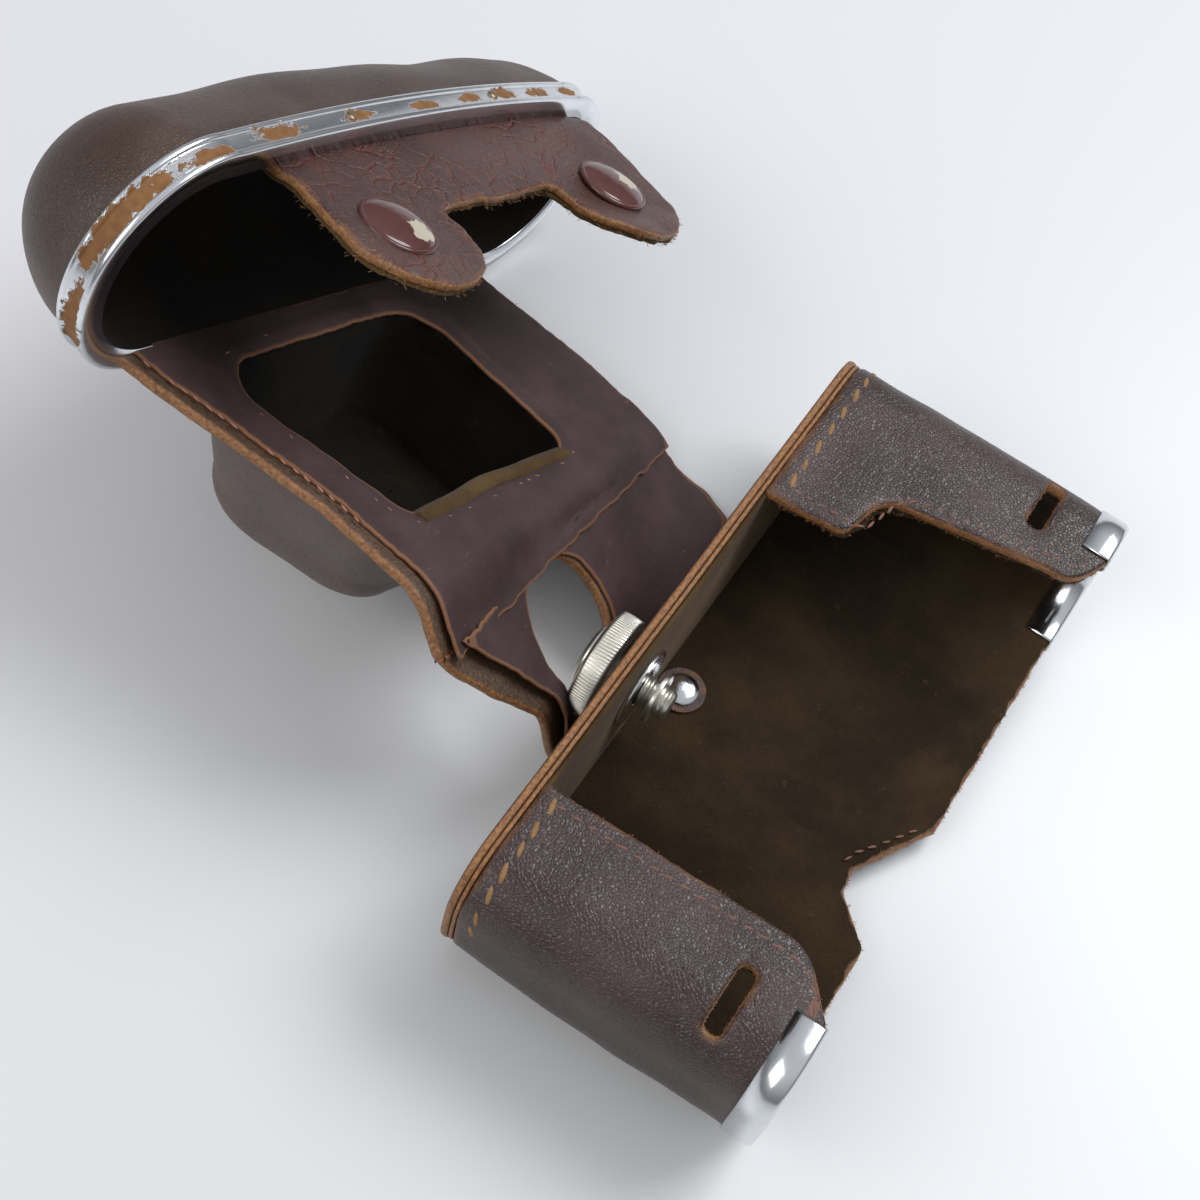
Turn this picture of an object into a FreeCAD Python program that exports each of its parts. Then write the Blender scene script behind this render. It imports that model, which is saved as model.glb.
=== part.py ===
import FreeCAD
import Part
import Sketcher
import math
import os
from FreeCAD import Placement, Rotation, Vector

# Leather camera case, opened flat on a table, millimetres.
# Every piece is drawn in the frame of the closed case: X along the case, Y from the bottom wall
# (y = 0) up to the lid, Z from the back wall's outer face (z = 0) to the front.
# Placements then lay the body half on its back and unfold the flap, the cover and the tab.

doc = FreeCAD.newDocument("camera_case")
sheet = doc.addObject("Spreadsheet::Sheet", "sizes")


class SheetValues:
    """Reads a driving dimension from the sheet by its alias."""

    def __getattr__(self, alias):
        return float(sheet.get(alias))


size = SheetValues()
sheet_rows = []


def dimension(alias, value, meaning):
    """One driving dimension: its meaning, its plain number and the alias that names it."""
    row = len(sheet_rows) + 1
    sheet_rows.append(alias)
    sheet.set("A%d" % row, meaning)
    sheet.set("B%d" % row, str(value))
    sheet.setAlias("B%d" % row, alias)


dimension("case_length", 141.0, "body half, outside length")
dimension("case_height", 62.0, "body half, bottom to pocket top")
dimension("case_depth", 33.0, "body half, back to front")
dimension("leather", 2.4, "moulded leather")
dimension("lining", 0.8, "suede and velvet lining")
dimension("back_corner", 15.0, "radius of the back corners in plan")
dimension("front_corner", 11.0, "radius of the front corners in plan")
dimension("origin_x", -11.26, "middle of the opened case, along X")
dimension("origin_y", -27.27, "middle of the opened case, along Y")

dimension("left_edge", 44.4, "front edge of the left pocket, from mid length")
dimension("right_edge", 43.5, "front edge of the right pocket, from mid length")
dimension("lobe_reach", 15.5, "how far the right pocket's foot reaches past its edge")
dimension("lobe_height", 20.0, "height of the right pocket's foot")
dimension("lining_setback", 1.2, "bare leather between an edge and its lining")
dimension("window_x", 10.0, "eyepiece cut-out, middle")
dimension("window_width", 27.0, "eyepiece cut-out, width at the top")
dimension("window_drop", 9.0, "eyepiece cut-out, depth below the back wall's top")
dimension("slot_length", 13.0, "lug slot, length")
dimension("slot_width", 3.4, "lug slot, width")
dimension("slot_height", 47.0, "lug slot, height above the bottom")
dimension("slot_middle", 60.0, "lug slot, distance of its middle from mid length")

dimension("trim_sheet", 0.5, "rim trim, sheet thickness")
dimension("trim_leg", 5.5, "rim trim, depth of the channel")
dimension("trim_start", 54.5, "rim trim, where it starts from mid length")

dimension("screw_x", 12.6, "tripod screw, from mid length")
dimension("screw_z", 17.5, "tripod screw, from the back")
dimension("screw_radius", 3.15, "tripod screw, thread radius")
dimension("screw_reach", 10.0, "tripod screw, end above the bottom wall's outside")
dimension("screw_play", 0.35, "radial clearance of the screw in its hole")
dimension("knob_radius", 10.25, "knob, radius")
dimension("knob_width", 5.0, "knob, knurled width")
dimension("knob_gap", 1.5, "knob face to the bottom wall")
dimension("boss_radius", 6.6, "knob, smooth boss radius")
dimension("boss_height", 1.5, "knob, smooth boss height")
dimension("washer_radius", 8.0, "screw washers, radius")
dimension("washer_sheet", 0.8, "screw washers, thickness")
dimension("ring_height", 6.6, "retaining ring, height above the bottom wall's outside")
dimension("ring_sheet", 1.0, "retaining ring, thickness")
dimension("ring_radius", 5.0, "retaining ring, radius")
dimension("ring_play", 0.05, "retaining ring, clearance in the screw's groove")
dimension("groove_depth", 0.5, "retaining ring's groove in the screw, depth")
dimension("screw_chamfer", 0.8, "tripod screw, chamfer at its end")
dimension("knob_chamfer", 0.7, "knob, chamfer of its rims")

dimension("rivet_x", 0.5, "flap rivet, from mid length")
dimension("rivet_y", 8.2, "flap rivet, above the bottom")
dimension("rivet_shank", 1.6, "flap rivet, shank radius")
dimension("rivet_head", 3.6, "flap rivet, head radius")
dimension("rivet_foot", 0.6, "flap rivet, thickness of the head under the flap's root")
dimension("rivet_crown", 1.4, "flap rivet, height of its round inner head")
dimension("rivet_washer_radius", 4.8, "leather washer under the rivet's inner head")
dimension("root_sheet", 2.4, "flap root under the back wall, thickness")
dimension("root_reach", 15.0, "flap root, reach above the bottom")

dimension("stud_height", 3.0, "snap stud, height over the back wall")
dimension("stud_neck", 1.9, "snap stud, neck radius")
dimension("stud_head", 2.4, "snap stud, head radius")
dimension("stud_base", 5.2, "snap stud, base radius")
dimension("stud_plate", 0.6, "snap stud, base thickness")
dimension("snap_post", 1.5, "snap cap, radius of its post through the tab")
dimension("left_snap_x", 34.6, "left snap, from mid length")
dimension("left_snap_y", 43.4, "left snap, above the bottom")
dimension("right_snap_x", -36.2, "right snap, from mid length")
dimension("right_snap_y", 41.0, "right snap, above the bottom")

dimension("flap_gap", 1.5, "flap lining to the bottom wall when closed")
dimension("flap_leather", 2.0, "flap, leather thickness")
dimension("flap_lining", 0.6, "flap, lining thickness")
dimension("flap_start", 1.5, "flap, near end behind the root fold")
dimension("flap_end", 32.2, "flap, far end at its left side")
dimension("flap_end_right", 22.5, "flap, far end at its right side")
dimension("fold_bend", -5.0, "where the front fold turns askew, from mid length")
dimension("knob_bay", 14.6, "flap, open way for the knob at its root, reach from the back")
dimension("knob_bay_start", 6.4, "flap, right side of the open way for the knob, from mid length")
dimension("flap_hole", 13.2, "flap, radius of the round hole")
dimension("flap_root_left", 26.0, "flap root, left end")
dimension("flap_root_right", -11.0, "flap root, right end")
dimension("fold_setback", 1.5, "front fold, set back from the panel's sides")

dimension("panel_gap", 0.8, "panel lining to the pocket fronts when closed")
dimension("panel_left", 49.5, "front panel, half width to the left")
dimension("panel_right", 50.2, "front panel, half width to the right")
dimension("panel_top_left", 61.5, "front panel, left end at the dome")
dimension("panel_start", 3.6, "front panel, lower end at its left side")
dimension("panel_start_right", 12.0, "front panel, lower end at its right side")

dimension("nose_x", 13.5, "lens nose, middle from mid length")
dimension("nose_y", 34.6, "lens nose, middle above the bottom")
dimension("nose_half_width", 35.4, "lens nose, half width at its root")
dimension("nose_half_height", 24.4, "lens nose, half height at its root")
dimension("nose_slant", 5.0, "lens nose, how far its left wall leans in towards the bottom")
dimension("nose_depth", 25.3, "lens nose, depth in front of the panel")
dimension("nose_corner", 9.0, "lens nose, radius of its lower corners")
dimension("nose_upper_corner", 13.0, "lens nose, radius of its upper corners")
dimension("nose_taper", 5.8, "lens nose, draft of its side walls up to the tip's rounding")
dimension("nose_draft_share", 0.65, "lens nose, draft of its upper and lower walls as a share of that")
dimension("nose_round", 6.0, "lens nose, rounding of its tip edge")
dimension("mouth_roll", 0.7, "raised roll along the nose mouth, rise over the lining")
dimension("mouth_strip", 4.6, "raw suede strip at the nose mouth, width")

dimension("rim_height", 63.0, "dome rim, height above the bottom when closed")
dimension("dome_end", 54.0, "dome, centre of its round ends from mid length")
dimension("dome_end_radius", 21.0, "dome, radius of its round ends")
dimension("dome_arch", 2.6, "dome, swell of its rear wall")
dimension("dome_height", 27.0, "dome, height over the rim")
dimension("dome_crown", 17.0, "dome, inset of its crown")
dimension("dome_skirt", 6.5, "dome, straight wall over the rim")
dimension("band_sheet", 0.9, "rim band, thickness outside the leather")
dimension("band_lip", 0.6, "rim band, lip under the leather's edge")
dimension("band_height", 6.0, "rim band, height")
dimension("bead", 1.2, "rim band, width of each raised bead")
dimension("bead_rise", 0.5, "rim band, rise of each raised bead")
dimension("band_start", 52.0, "rim band, front ends from mid length")
dimension("pin_radius", 1.1, "band pins, head radius")
dimension("pin_rise", 0.5, "band pins, head rise")
dimension("pin_spread", 23.0, "band pins, distance from mid length")

dimension("tab_gap", 1.2, "tab backing to the back wall when closed")
dimension("tab_leather", 2.0, "tab, leather thickness")
dimension("tab_backing", 1.0, "tab, backing thickness")
dimension("tab_top", 61.4, "tab, upper end below the dome rim")
dimension("tab_end_setback", 5.0, "tab root and fold, set back from the left tongue's side")
dimension("tab_spread", 4.0, "tab root and fold, reach past the right tongue's side")
dimension("tab_notch", 46.0, "tab, height of the notch between its tongues")
dimension("tongue_radius", 13.4, "tab, round end of the left tongue")
dimension("right_tongue_radius", 13.8, "tab, round end of the right tongue")
dimension("backing_inset", 1.6, "tab backing, inset from the leather's edge")
dimension("cap_radius", 7.2, "snap cap, radius")
dimension("cap_rise", 1.9, "snap cap, rise over the tab")
dimension("socket_radius", 4.9, "snap socket, radius")
dimension("socket_play", 0.35, "snap socket, radial clearance on the stud head")

dimension("rest_height", 3.0, "back wall's outer face over the table")
dimension("flap_angle", 55.61, "flap, angle unfolded from closed")
dimension("cover_angle", 119.21, "cover, angle unfolded from closed")
doc.recompute()

# Rest pose: each fold's axis runs slightly askew, because the leather lies twisted.
home = Placement(Vector(-size.origin_x, -size.origin_y, size.rest_height), Rotation())
flap_axis = Vector(0.9244, -0.2486, 0.2894)
flap_pivot = Vector(-6.02, -3.11, 0.37)
cover_axis = Vector(0.9839, -0.0927, 0.1526)
cover_pivot = Vector(1.05, 2.01, 34.13)
flap_turn = Placement(Vector(), Rotation(flap_axis, size.flap_angle), flap_pivot)
cover_turn = Placement(Vector(), Rotation(cover_axis, size.cover_angle), cover_pivot)
on_flap = home * flap_turn
on_cover = on_flap * cover_turn

# Levels that several pieces share, counted in the closed case.
wall = size.leather + size.lining
panel_back = size.case_depth + size.panel_gap
panel_leather_back = panel_back + size.lining
panel_front = panel_leather_back + size.leather
dome_middle_z = panel_front - size.dome_end_radius
tab_inner = -size.tab_gap
tab_mid = tab_inner - size.tab_backing
tab_outer = tab_mid - size.tab_leather


# Outlines

def rounded_loop(corners):
    """Closed outline through corners (a, b, radius): straight sides joined by tangent arcs."""
    arcs = []
    count = len(corners)
    for index, (a, b, radius) in enumerate(corners):
        corner = Vector(a, b, 0)
        last = Vector(*corners[index - 1][:2], 0) - corner
        following = Vector(*corners[(index + 1) % count][:2], 0) - corner
        to_last = last * (1 / last.Length)
        to_next = following * (1 / following.Length)
        half = to_last.getAngle(to_next) / 2
        reach = radius / math.tan(half)
        bisector = to_last + to_next
        middle = corner
        if radius > 0:
            bisector = bisector * (1 / bisector.Length)
            middle = corner + bisector * (radius / math.sin(half) - radius)
        arcs.append((corner + to_last * reach, middle, corner + to_next * reach, radius))
    loop = []
    for index, (start, middle, end, radius) in enumerate(arcs):
        if radius > 0:
            loop.append(Part.Arc(start, middle, end))
        following = arcs[(index + 1) % count][0]
        if (following - end).Length > 1e-6:
            loop.append(Part.LineSegment(end, following))
    return loop


def circle(a, b, radius):
    """Closed outline of one circle."""
    return [Part.Circle(Vector(a, b, 0), Vector(0, 0, 1), radius)]


def rectangle(a_low, b_low, a_high, b_high):
    """Closed outline of one rectangle."""
    return rounded_loop([(a_low, b_low, 0), (a_high, b_low, 0), (a_high, b_high, 0), (a_low, b_high, 0)])


def case_plan(inset):
    """The body half from above (x, z), inset from its outer leather face."""
    end = size.case_length / 2 - inset
    front = size.case_depth - inset
    front_radius = size.front_corner - inset
    back_radius = size.back_corner - inset
    return rounded_loop([
        (-end, inset, back_radius),
        (end, inset, back_radius),
        (end, front, front_radius),
        (-end, front, front_radius),
    ])


def front_opening(setback):
    """The open front between the pockets (x, y); the right pocket has a rounded foot."""
    low = -1.0
    high = size.case_height + 2.0
    left = size.left_edge + setback
    right = -size.right_edge - setback
    foot = size.lobe_height + setback
    foot_tip = right + size.lobe_reach
    return rounded_loop([
        (foot_tip, low, 0),
        (foot_tip - 1.5, foot - 1.0, 2.6),
        (right + 2.5, foot + 1.5, 6.0),
        (right - 4.0, size.case_height - 3.0, 5.0),
        (right - 12.5, high, 0),
        (left + 11.5, high, 0),
        (left, size.case_height - 9.0, 10.0),
        (left + 1.4, low, 0),
    ])


def eyepiece_window(setback):
    """The cut-out in the back wall's top edge (x, y)."""
    half = size.window_width / 2 + setback
    low = size.case_height - size.window_drop - setback
    high = size.case_height + 1.0
    return rounded_loop([
        (size.window_x - half, high, 0),
        (size.window_x + half * 0.15, low, 4.5),
        (size.window_x + half * 0.5, low + 0.6, 2.5),
        (size.window_x + half, high, 0),
    ])


def dome_plan(inset):
    """The dome from above (x, z): straight front, round ends and a gently arched rear."""
    radius = size.dome_end_radius - inset
    front = dome_middle_z + radius
    rear = dome_middle_z - radius
    end = size.dome_end
    tip = end + radius
    return [
        Part.LineSegment(Vector(-end, front, 0), Vector(end, front, 0)),
        Part.Arc(Vector(end, front, 0), Vector(tip, dome_middle_z, 0), Vector(end, rear, 0)),
        Part.Arc(Vector(end, rear, 0), Vector(0, rear - size.dome_arch, 0), Vector(-end, rear, 0)),
        Part.Arc(Vector(-end, rear, 0), Vector(-tip, dome_middle_z, 0), Vector(-end, front, 0)),
    ]


def nose_corners(inset, level):
    """The lens nose's corners (x, y, radius) at a level over its root; its left wall leans in."""
    straight = size.leather + size.nose_depth - size.nose_round
    draft = size.nose_taper * level / straight
    half_width = size.nose_half_width - inset - draft
    half_height = size.nose_half_height - inset - draft * size.nose_draft_share
    left = size.nose_x + half_width
    right = size.nose_x - half_width
    low = size.nose_y - half_height
    high = size.nose_y + half_height
    lean = size.nose_slant * 2 * half_height / size.nose_half_height
    return [
        (right, low, size.nose_corner - inset),
        (left - lean, low, size.nose_corner - inset),
        (left, high, size.nose_upper_corner - inset),
        (right, high, size.nose_upper_corner - inset),
    ]


def flap_outline(inset):
    """The flap in plan (x, z): narrow at its root, full width at the front fold."""
    return rounded_loop([
        (size.flap_root_right + inset, size.flap_start, 0),
        (size.flap_root_left - inset, size.flap_start, 0),
        (size.flap_root_left + 9.5 - inset, size.flap_start + 13.0, 30.0),
        (size.panel_left - size.fold_setback - inset, size.flap_end - inset, 0),
        (size.fold_bend, size.flap_end - inset, 0),
        (-size.panel_right + size.fold_setback + inset, size.flap_end_right - inset, 0),
        (-size.panel_right + 5.0 + inset, size.flap_end_right - 5.0, 6.0),
    ])


def panel_outline(inset):
    """The front panel (x, y), its left edge leaning out towards the dome."""
    return rounded_loop([
        (size.panel_left - inset, size.panel_start, 0),
        (size.panel_left - 0.4 - inset, 24.0, 40.0),
        (size.panel_top_left - inset, size.rim_height, 0),
        (-size.panel_right + 3.0 + inset, size.rim_height, 0),
        (-size.panel_right - 0.4 + inset, 36.0, 60.0),
        (-size.panel_right + inset, size.panel_start_right, 0),
        (size.fold_bend, size.panel_start, 0),
    ])


def tab_outline(inset):
    """The closing tab (x, y): two round tongues below one broad root."""
    left_low = size.left_snap_y - size.tongue_radius + inset - 1.4
    right_low = size.right_snap_y - size.right_tongue_radius + inset - 1.0
    left_out = size.left_snap_x + size.tongue_radius + 2.6 - inset
    left_in = size.left_snap_x - size.tongue_radius - 2.4 + inset
    right_in = size.right_snap_x + size.right_tongue_radius + 0.6 - inset
    right_out = size.right_snap_x - size.right_tongue_radius - 0.6 + inset
    left_end = size.tongue_radius - inset
    right_end = size.right_tongue_radius - inset
    notch = size.tab_notch + inset
    return rounded_loop([
        (left_out - 6.0, size.tab_top - inset, 0),
        (left_out, left_low, left_end),
        (left_in, left_low, left_end),
        (left_in - 0.6, notch, 3.0),
        (right_in + 0.6, notch, 3.0),
        (right_in, right_low, right_end),
        (right_out, right_low, right_end),
        (right_out - 3.8, size.tab_top - inset, 0),
    ])


# Feature helpers

def new_body(label, place):
    """A body for one piece, carrying the piece's name and placement."""
    body = doc.addObject("PartDesign::Body", label)
    body.Label = label
    body.Placement = place
    return body


def sketch(body, plane, level, loops):
    """Closed loops on one of the body's own origin planes, raised along the plane's normal."""
    item = body.newObject("Sketcher::SketchObject", body.Name + "_sketch")
    support = [part for part in body.Origin.OriginFeatures if part.Role == plane][0]
    item.AttachmentSupport = (support, [""])
    item.MapMode = "FlatFace"
    item.setExpression(".AttachmentOffset.Base.z", level)
    for loop in loops:
        item.addGeometry(loop, False)
    return item


def plan_sketch(body, level, loops):
    """Closed loops in plan (x, z) at a height y; the XZ plane's normal points to minus Y."""
    return sketch(body, "XZ_Plane", "-(%s)" % level, loops)


def front_sketch(body, level, loops):
    """Closed loops seen from the front (x, y) at a depth z."""
    return sketch(body, "XY_Plane", level, loops)


def pad(body, profile, length, upward):
    """Adds material from a sketch; upward reverses the plan plane's own normal."""
    item = body.newObject("PartDesign::Pad", body.Name + "_pad")
    item.Profile = profile
    item.setExpression("Length", length)
    item.Reversed = upward
    return item


def pocket(body, profile, length, reverse):
    """Takes material away under a sketch."""
    item = body.newObject("PartDesign::Pocket", body.Name + "_pocket")
    item.Profile = profile
    item.setExpression("Length", length)
    item.Reversed = reverse
    return item


def rise(body, level, loops, height):
    """Material standing on a plan outline, from level upwards along Y."""
    return pad(body, plan_sketch(body, level, loops), height, True)


def sink(body, level, loops, height):
    """A hole of a plan outline, from level upwards along Y."""
    return pocket(body, plan_sketch(body, level, loops), height, False)


def raise_front(body, level, loops, depth):
    """Material standing on a front outline, from level forwards along Z."""
    return pad(body, front_sketch(body, level, loops), depth, False)


def cut_front(body, level, loops, depth):
    """A hole of a front outline, from level forwards along Z."""
    return pocket(body, front_sketch(body, level, loops), depth, True)


def loft(body, kind, sketches):
    """Joins several outlines into one solid or hollow with ruled sides."""
    item = body.newObject("PartDesign::" + kind, body.Name + "_loft")
    item.Profile = sketches[0]
    item.Sections = sketches[1:]
    item.Ruled = True
    return item


def shaped(label, place, shape):
    """One piece from a finished shape, carrying the piece's name and placement."""
    item = doc.addObject("Part::Feature", label)
    item.Label = label
    item.Shape = shape
    item.Placement = place
    return item


def flat_face(corners):
    """A flat face through its corners."""
    return Part.Face(Part.makePolygon(corners + corners[:1]))


def closed_solid(faces):
    """The solid inside a closed set of faces that all run round the same way, seen from outside."""
    solid = Part.Solid(Part.Shell(faces))
    if solid.Volume < 0:
        solid.reverse()
    return solid


def turned(label, place, profile):
    """A turned piece: its profile points (radius, height) are sheet expressions, turned about Z."""
    body = new_body(label, place)
    item = sketch(body, "XZ_Plane", "0", [])
    values = [(value_of(radius), value_of(height)) for radius, height in profile]
    count = len(profile)
    for index in range(count):
        start = Vector(*values[index], 0)
        end = Vector(*values[(index + 1) % count], 0)
        item.addGeometry(Part.LineSegment(start, end), False)
    for index in range(count):
        before = (index - 1) % count
        joint = Sketcher.Constraint("Coincident", before, 2, index, 1)
        item.addConstraint(joint)
    for index, texts in enumerate(profile):
        for kind, text, value in zip(("DistanceX", "DistanceY"), texts, values[index]):
            number = item.addConstraint(Sketcher.Constraint(kind, -1, 1, index, 1, value))
            item.setExpression("Constraints[%d]" % number, text)
    turn = body.newObject("PartDesign::Revolution", label + "_turn")
    turn.Profile = item
    turn.ReferenceAxis = (item, ["V_Axis"])
    turn.Angle = 360
    return body


def value_of(expression):
    """The number that a sheet expression stands for now."""
    return float(sheet.evalExpression(expression))


def axis_up(x, z, level):
    """Placement of a turned piece whose own Z runs along the case's Y."""
    return Placement(Vector(x, level, z), Rotation(Vector(1, 0, 0), -90))


def axis_out(x, y, level):
    """Placement of a turned piece whose own Z runs out of the back, along minus Z."""
    return Placement(Vector(x, y, level), Rotation(Vector(1, 0, 0), 180))


# Body half

def make_body_wrap():
    """Moulded leather round the back and both ends, open to the front between the pockets."""
    body = new_body("body_wrap", home)
    height = "sizes.case_height - sizes.leather"
    rise(body, "sizes.leather", [case_plan(0), case_plan(size.leather)], height)
    cut_front(body, "sizes.case_depth - sizes.leather - 1", [front_opening(0)], "sizes.leather + 2")
    cut_front(body, "-1", [eyepiece_window(0)], "sizes.leather + 2")
    cut_front(body, "-1", [rivet_hole()], "sizes.leather + 2")
    cut_lug_slots(body)
    return body


def make_body_lining():
    """Suede inside the wrap, set back from every cut edge."""
    body = new_body("body_lining", home)
    height = "sizes.case_height - sizes.leather"
    rise(body, "sizes.leather", [case_plan(size.leather), case_plan(wall)], height)
    front = "sizes.case_depth - sizes.leather - sizes.lining - 1"
    cut_front(body, front, [front_opening(size.lining_setback)], "sizes.leather + sizes.lining + 2")
    cut_front(body, "-1", [eyepiece_window(size.lining_setback)], "sizes.leather + sizes.lining + 2")
    cut_front(body, "-1", [rivet_hole()], "sizes.leather + sizes.lining + 2")
    cut_lug_slots(body)
    return body


def rivet_hole():
    """The rivet's hole through the back wall and the flap root (x, y)."""
    return circle(size.rivet_x, size.rivet_y, size.rivet_shank)


def rivet_place(level):
    """Placement on the rivet's axis at a depth in front of the back wall's outer face."""
    return home * Placement(Vector(size.rivet_x, size.rivet_y, level), Rotation())


def cut_lug_slots(body):
    """A slot in the front of each pocket for the camera's strap lug."""
    half = size.slot_width / 2
    loops = []
    for side in (-1, 1):
        middle = side * size.slot_middle
        reach = size.slot_length / 2
        low = size.slot_height - half
        high = size.slot_height + half
        loops.append(rounded_loop([
            (middle - reach, low, half * 0.9),
            (middle + reach, low, half * 0.9),
            (middle + reach, high, half * 0.9),
            (middle - reach, high, half * 0.9),
        ]))
    cut_front(body, "sizes.case_depth - sizes.front_corner", loops, "sizes.front_corner + 1")


def make_bottom_wall():
    """Sewn-in bottom strip with the screw's hole."""
    body = new_body("bottom_wall", home)
    hole = circle(size.screw_x, size.screw_z, size.screw_radius + size.screw_play)
    rise(body, "0", [case_plan(0), hole], "sizes.leather")
    return body


def make_bottom_lining():
    """Suede on the bottom wall, inside the body lining."""
    body = new_body("bottom_lining", home)
    hole = circle(size.screw_x, size.screw_z, size.screw_radius + size.screw_play)
    rise(body, "sizes.leather", [case_plan(wall), hole], "sizes.lining")
    return body


def make_rim_trim(label, side):
    """Bright channel over one pocket's top edge, from its front round the end to the back."""
    body = new_body(label, home)
    outer = -size.trim_sheet
    inner = wall + size.trim_sheet
    foot = "sizes.case_height - sizes.trim_leg"
    rise(body, foot, [case_plan(outer), case_plan(inner)], "sizes.trim_leg + sizes.trim_sheet")
    sink(body, foot, [case_plan(0), case_plan(wall)], "sizes.trim_leg")
    far = size.case_length
    low = min(-side * far, side * size.trim_start)
    high = max(-side * far, side * size.trim_start)
    middle = rectangle(low, -far, high, far)
    sink(body, foot + " - 1", [middle], "sizes.trim_leg + sizes.trim_sheet + 2")
    return body


def make_flap_root():
    """End of the flap's leather, riveted under the back wall."""
    body = new_body("flap_root", home)
    loop = rounded_loop([
        (size.flap_root_right, -size.leather / 2, 0),
        (size.flap_root_left, -size.leather / 2, 0),
        (size.flap_root_left - 4.0, size.root_reach, 7.0),
        (size.flap_root_right + 1.0, size.root_reach, 7.0),
    ])
    raise_front(body, "-sizes.root_sheet", [loop, rivet_hole()], "sizes.root_sheet")
    return body


def make_flap_rivet():
    """Round-headed rivet through the flap root and the back wall."""
    foot = "0 - sizes.root_sheet - sizes.rivet_foot"
    seat = "sizes.leather + sizes.lining + sizes.rivet_foot"
    profile = [
        ("0", foot),
        ("sizes.rivet_head - 0.6", foot),
        ("sizes.rivet_head", "0 - sizes.root_sheet"),
        ("sizes.rivet_shank", "0 - sizes.root_sheet"),
        ("sizes.rivet_shank", seat),
        ("sizes.rivet_head", seat),
        ("sizes.rivet_head - 0.4", seat + " + 0.5 * sizes.rivet_crown"),
        ("sizes.rivet_head - 1.8", seat + " + 0.86 * sizes.rivet_crown"),
        ("0", seat + " + sizes.rivet_crown"),
    ]
    return turned("flap_rivet", rivet_place(0), profile)


def ring(label, place, outer, inner, thickness):
    """A flat washer standing on its placement's XY plane."""
    profile = [(inner, "0"), (outer, "0"), (outer, thickness), (inner, thickness)]
    return turned(label, place, profile)


def make_snap_stud(label, x, y):
    """Snap stud on the back wall: a round base, a neck and a head."""
    profile = [
        ("0", "0"),
        ("sizes.stud_base", "0"),
        ("sizes.stud_base - 0.3", "sizes.stud_plate"),
        ("sizes.stud_neck", "sizes.stud_plate"),
        ("sizes.stud_neck", "sizes.stud_height - 1.5"),
        ("sizes.stud_head", "sizes.stud_height - 1.1"),
        ("sizes.stud_head", "sizes.stud_height - 0.6"),
        ("sizes.stud_head - 0.6", "sizes.stud_height"),
        ("0", "sizes.stud_height"),
    ]
    return turned(label, home * axis_out(x, y, 0), profile)


# Tripod screw

def screw_place(level):
    """Placement on the screw's axis at a height above the bottom wall's outside."""
    return home * axis_up(size.screw_x, size.screw_z, level)


def make_tripod_screw():
    """Shank with a groove for the retaining ring and a chamfered end."""
    low = "0 - sizes.knob_gap"
    groove_low = "sizes.ring_height"
    groove_high = "sizes.ring_height + sizes.ring_sheet"
    radius = "sizes.screw_radius"
    groove = "sizes.screw_radius - sizes.groove_depth"
    profile = [
        ("0", low),
        (radius, low),
        (radius, groove_low),
        (groove, groove_low),
        (groove, groove_high),
        (radius, groove_high),
        (radius, "sizes.screw_reach - sizes.screw_chamfer"),
        ("sizes.screw_radius - sizes.screw_chamfer", "sizes.screw_reach"),
        ("0", "sizes.screw_reach"),
    ]
    return turned("tripod_screw", screw_place(0), profile)


def make_screw_knob():
    """Round knob with chamfered rims and a smooth boss on its outer face."""
    face = "0 - sizes.knob_gap"
    back = "0 - sizes.knob_gap - sizes.knob_width"
    tip = back + " - sizes.boss_height"
    profile = [
        ("0", face),
        ("0", tip),
        ("sizes.boss_radius - 1.5", tip),
        ("sizes.boss_radius", tip + " + sizes.knob_chamfer"),
        ("sizes.boss_radius", back),
        ("sizes.knob_radius - sizes.knob_chamfer", back),
        ("sizes.knob_radius", back + " + sizes.knob_chamfer"),
        ("sizes.knob_radius", face + " - sizes.knob_chamfer"),
        ("sizes.knob_radius - sizes.knob_chamfer", face),
    ]
    return turned("screw_knob", screw_place(0), profile)


def make_retaining_ring():
    """Ring in the screw's groove; it stops the screw falling out of the bottom wall."""
    place = screw_place(size.ring_height + size.ring_play)
    inner = "sizes.screw_radius - sizes.groove_depth + sizes.ring_play"
    return ring("retaining_ring", place, "sizes.ring_radius", inner, "sizes.ring_sheet - 2 * sizes.ring_play")


# Flap

def make_flap_piece(label, outline, level, thickness):
    """One layer of the flap with its share of the round hole and of the knob's open way."""
    body = new_body(label, on_flap)
    rise(body, level, [outline, circle(size.screw_x, size.screw_z, size.flap_hole)], thickness)
    bay = rectangle(size.knob_bay_start, -size.case_depth, size.case_length, size.knob_bay)
    sink(body, level, [bay], thickness)
    return body


# Cover: front panel and nose

def make_front_panel():
    """Front panel leather, cut out round the root of the nose."""
    outline = Part.Wire([side.toShape() for side in panel_outline(0)])
    leather = Part.Face(outline).extrude(Vector(0, 0, size.leather))
    leather.translate(Vector(0, 0, panel_leather_back))
    return shaped("front_panel", on_cover, leather.cut(nose_block(0)))


def make_panel_lining():
    """Lining on the panel's inner face, open at the nose mouth."""
    body = new_body("panel_lining", on_cover)
    level = "sizes.case_depth + sizes.panel_gap"
    loops = [panel_outline(size.lining_setback), rounded_loop(nose_corners(wall, 0))]
    raise_front(body, level, loops, "sizes.lining")
    return body


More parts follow.
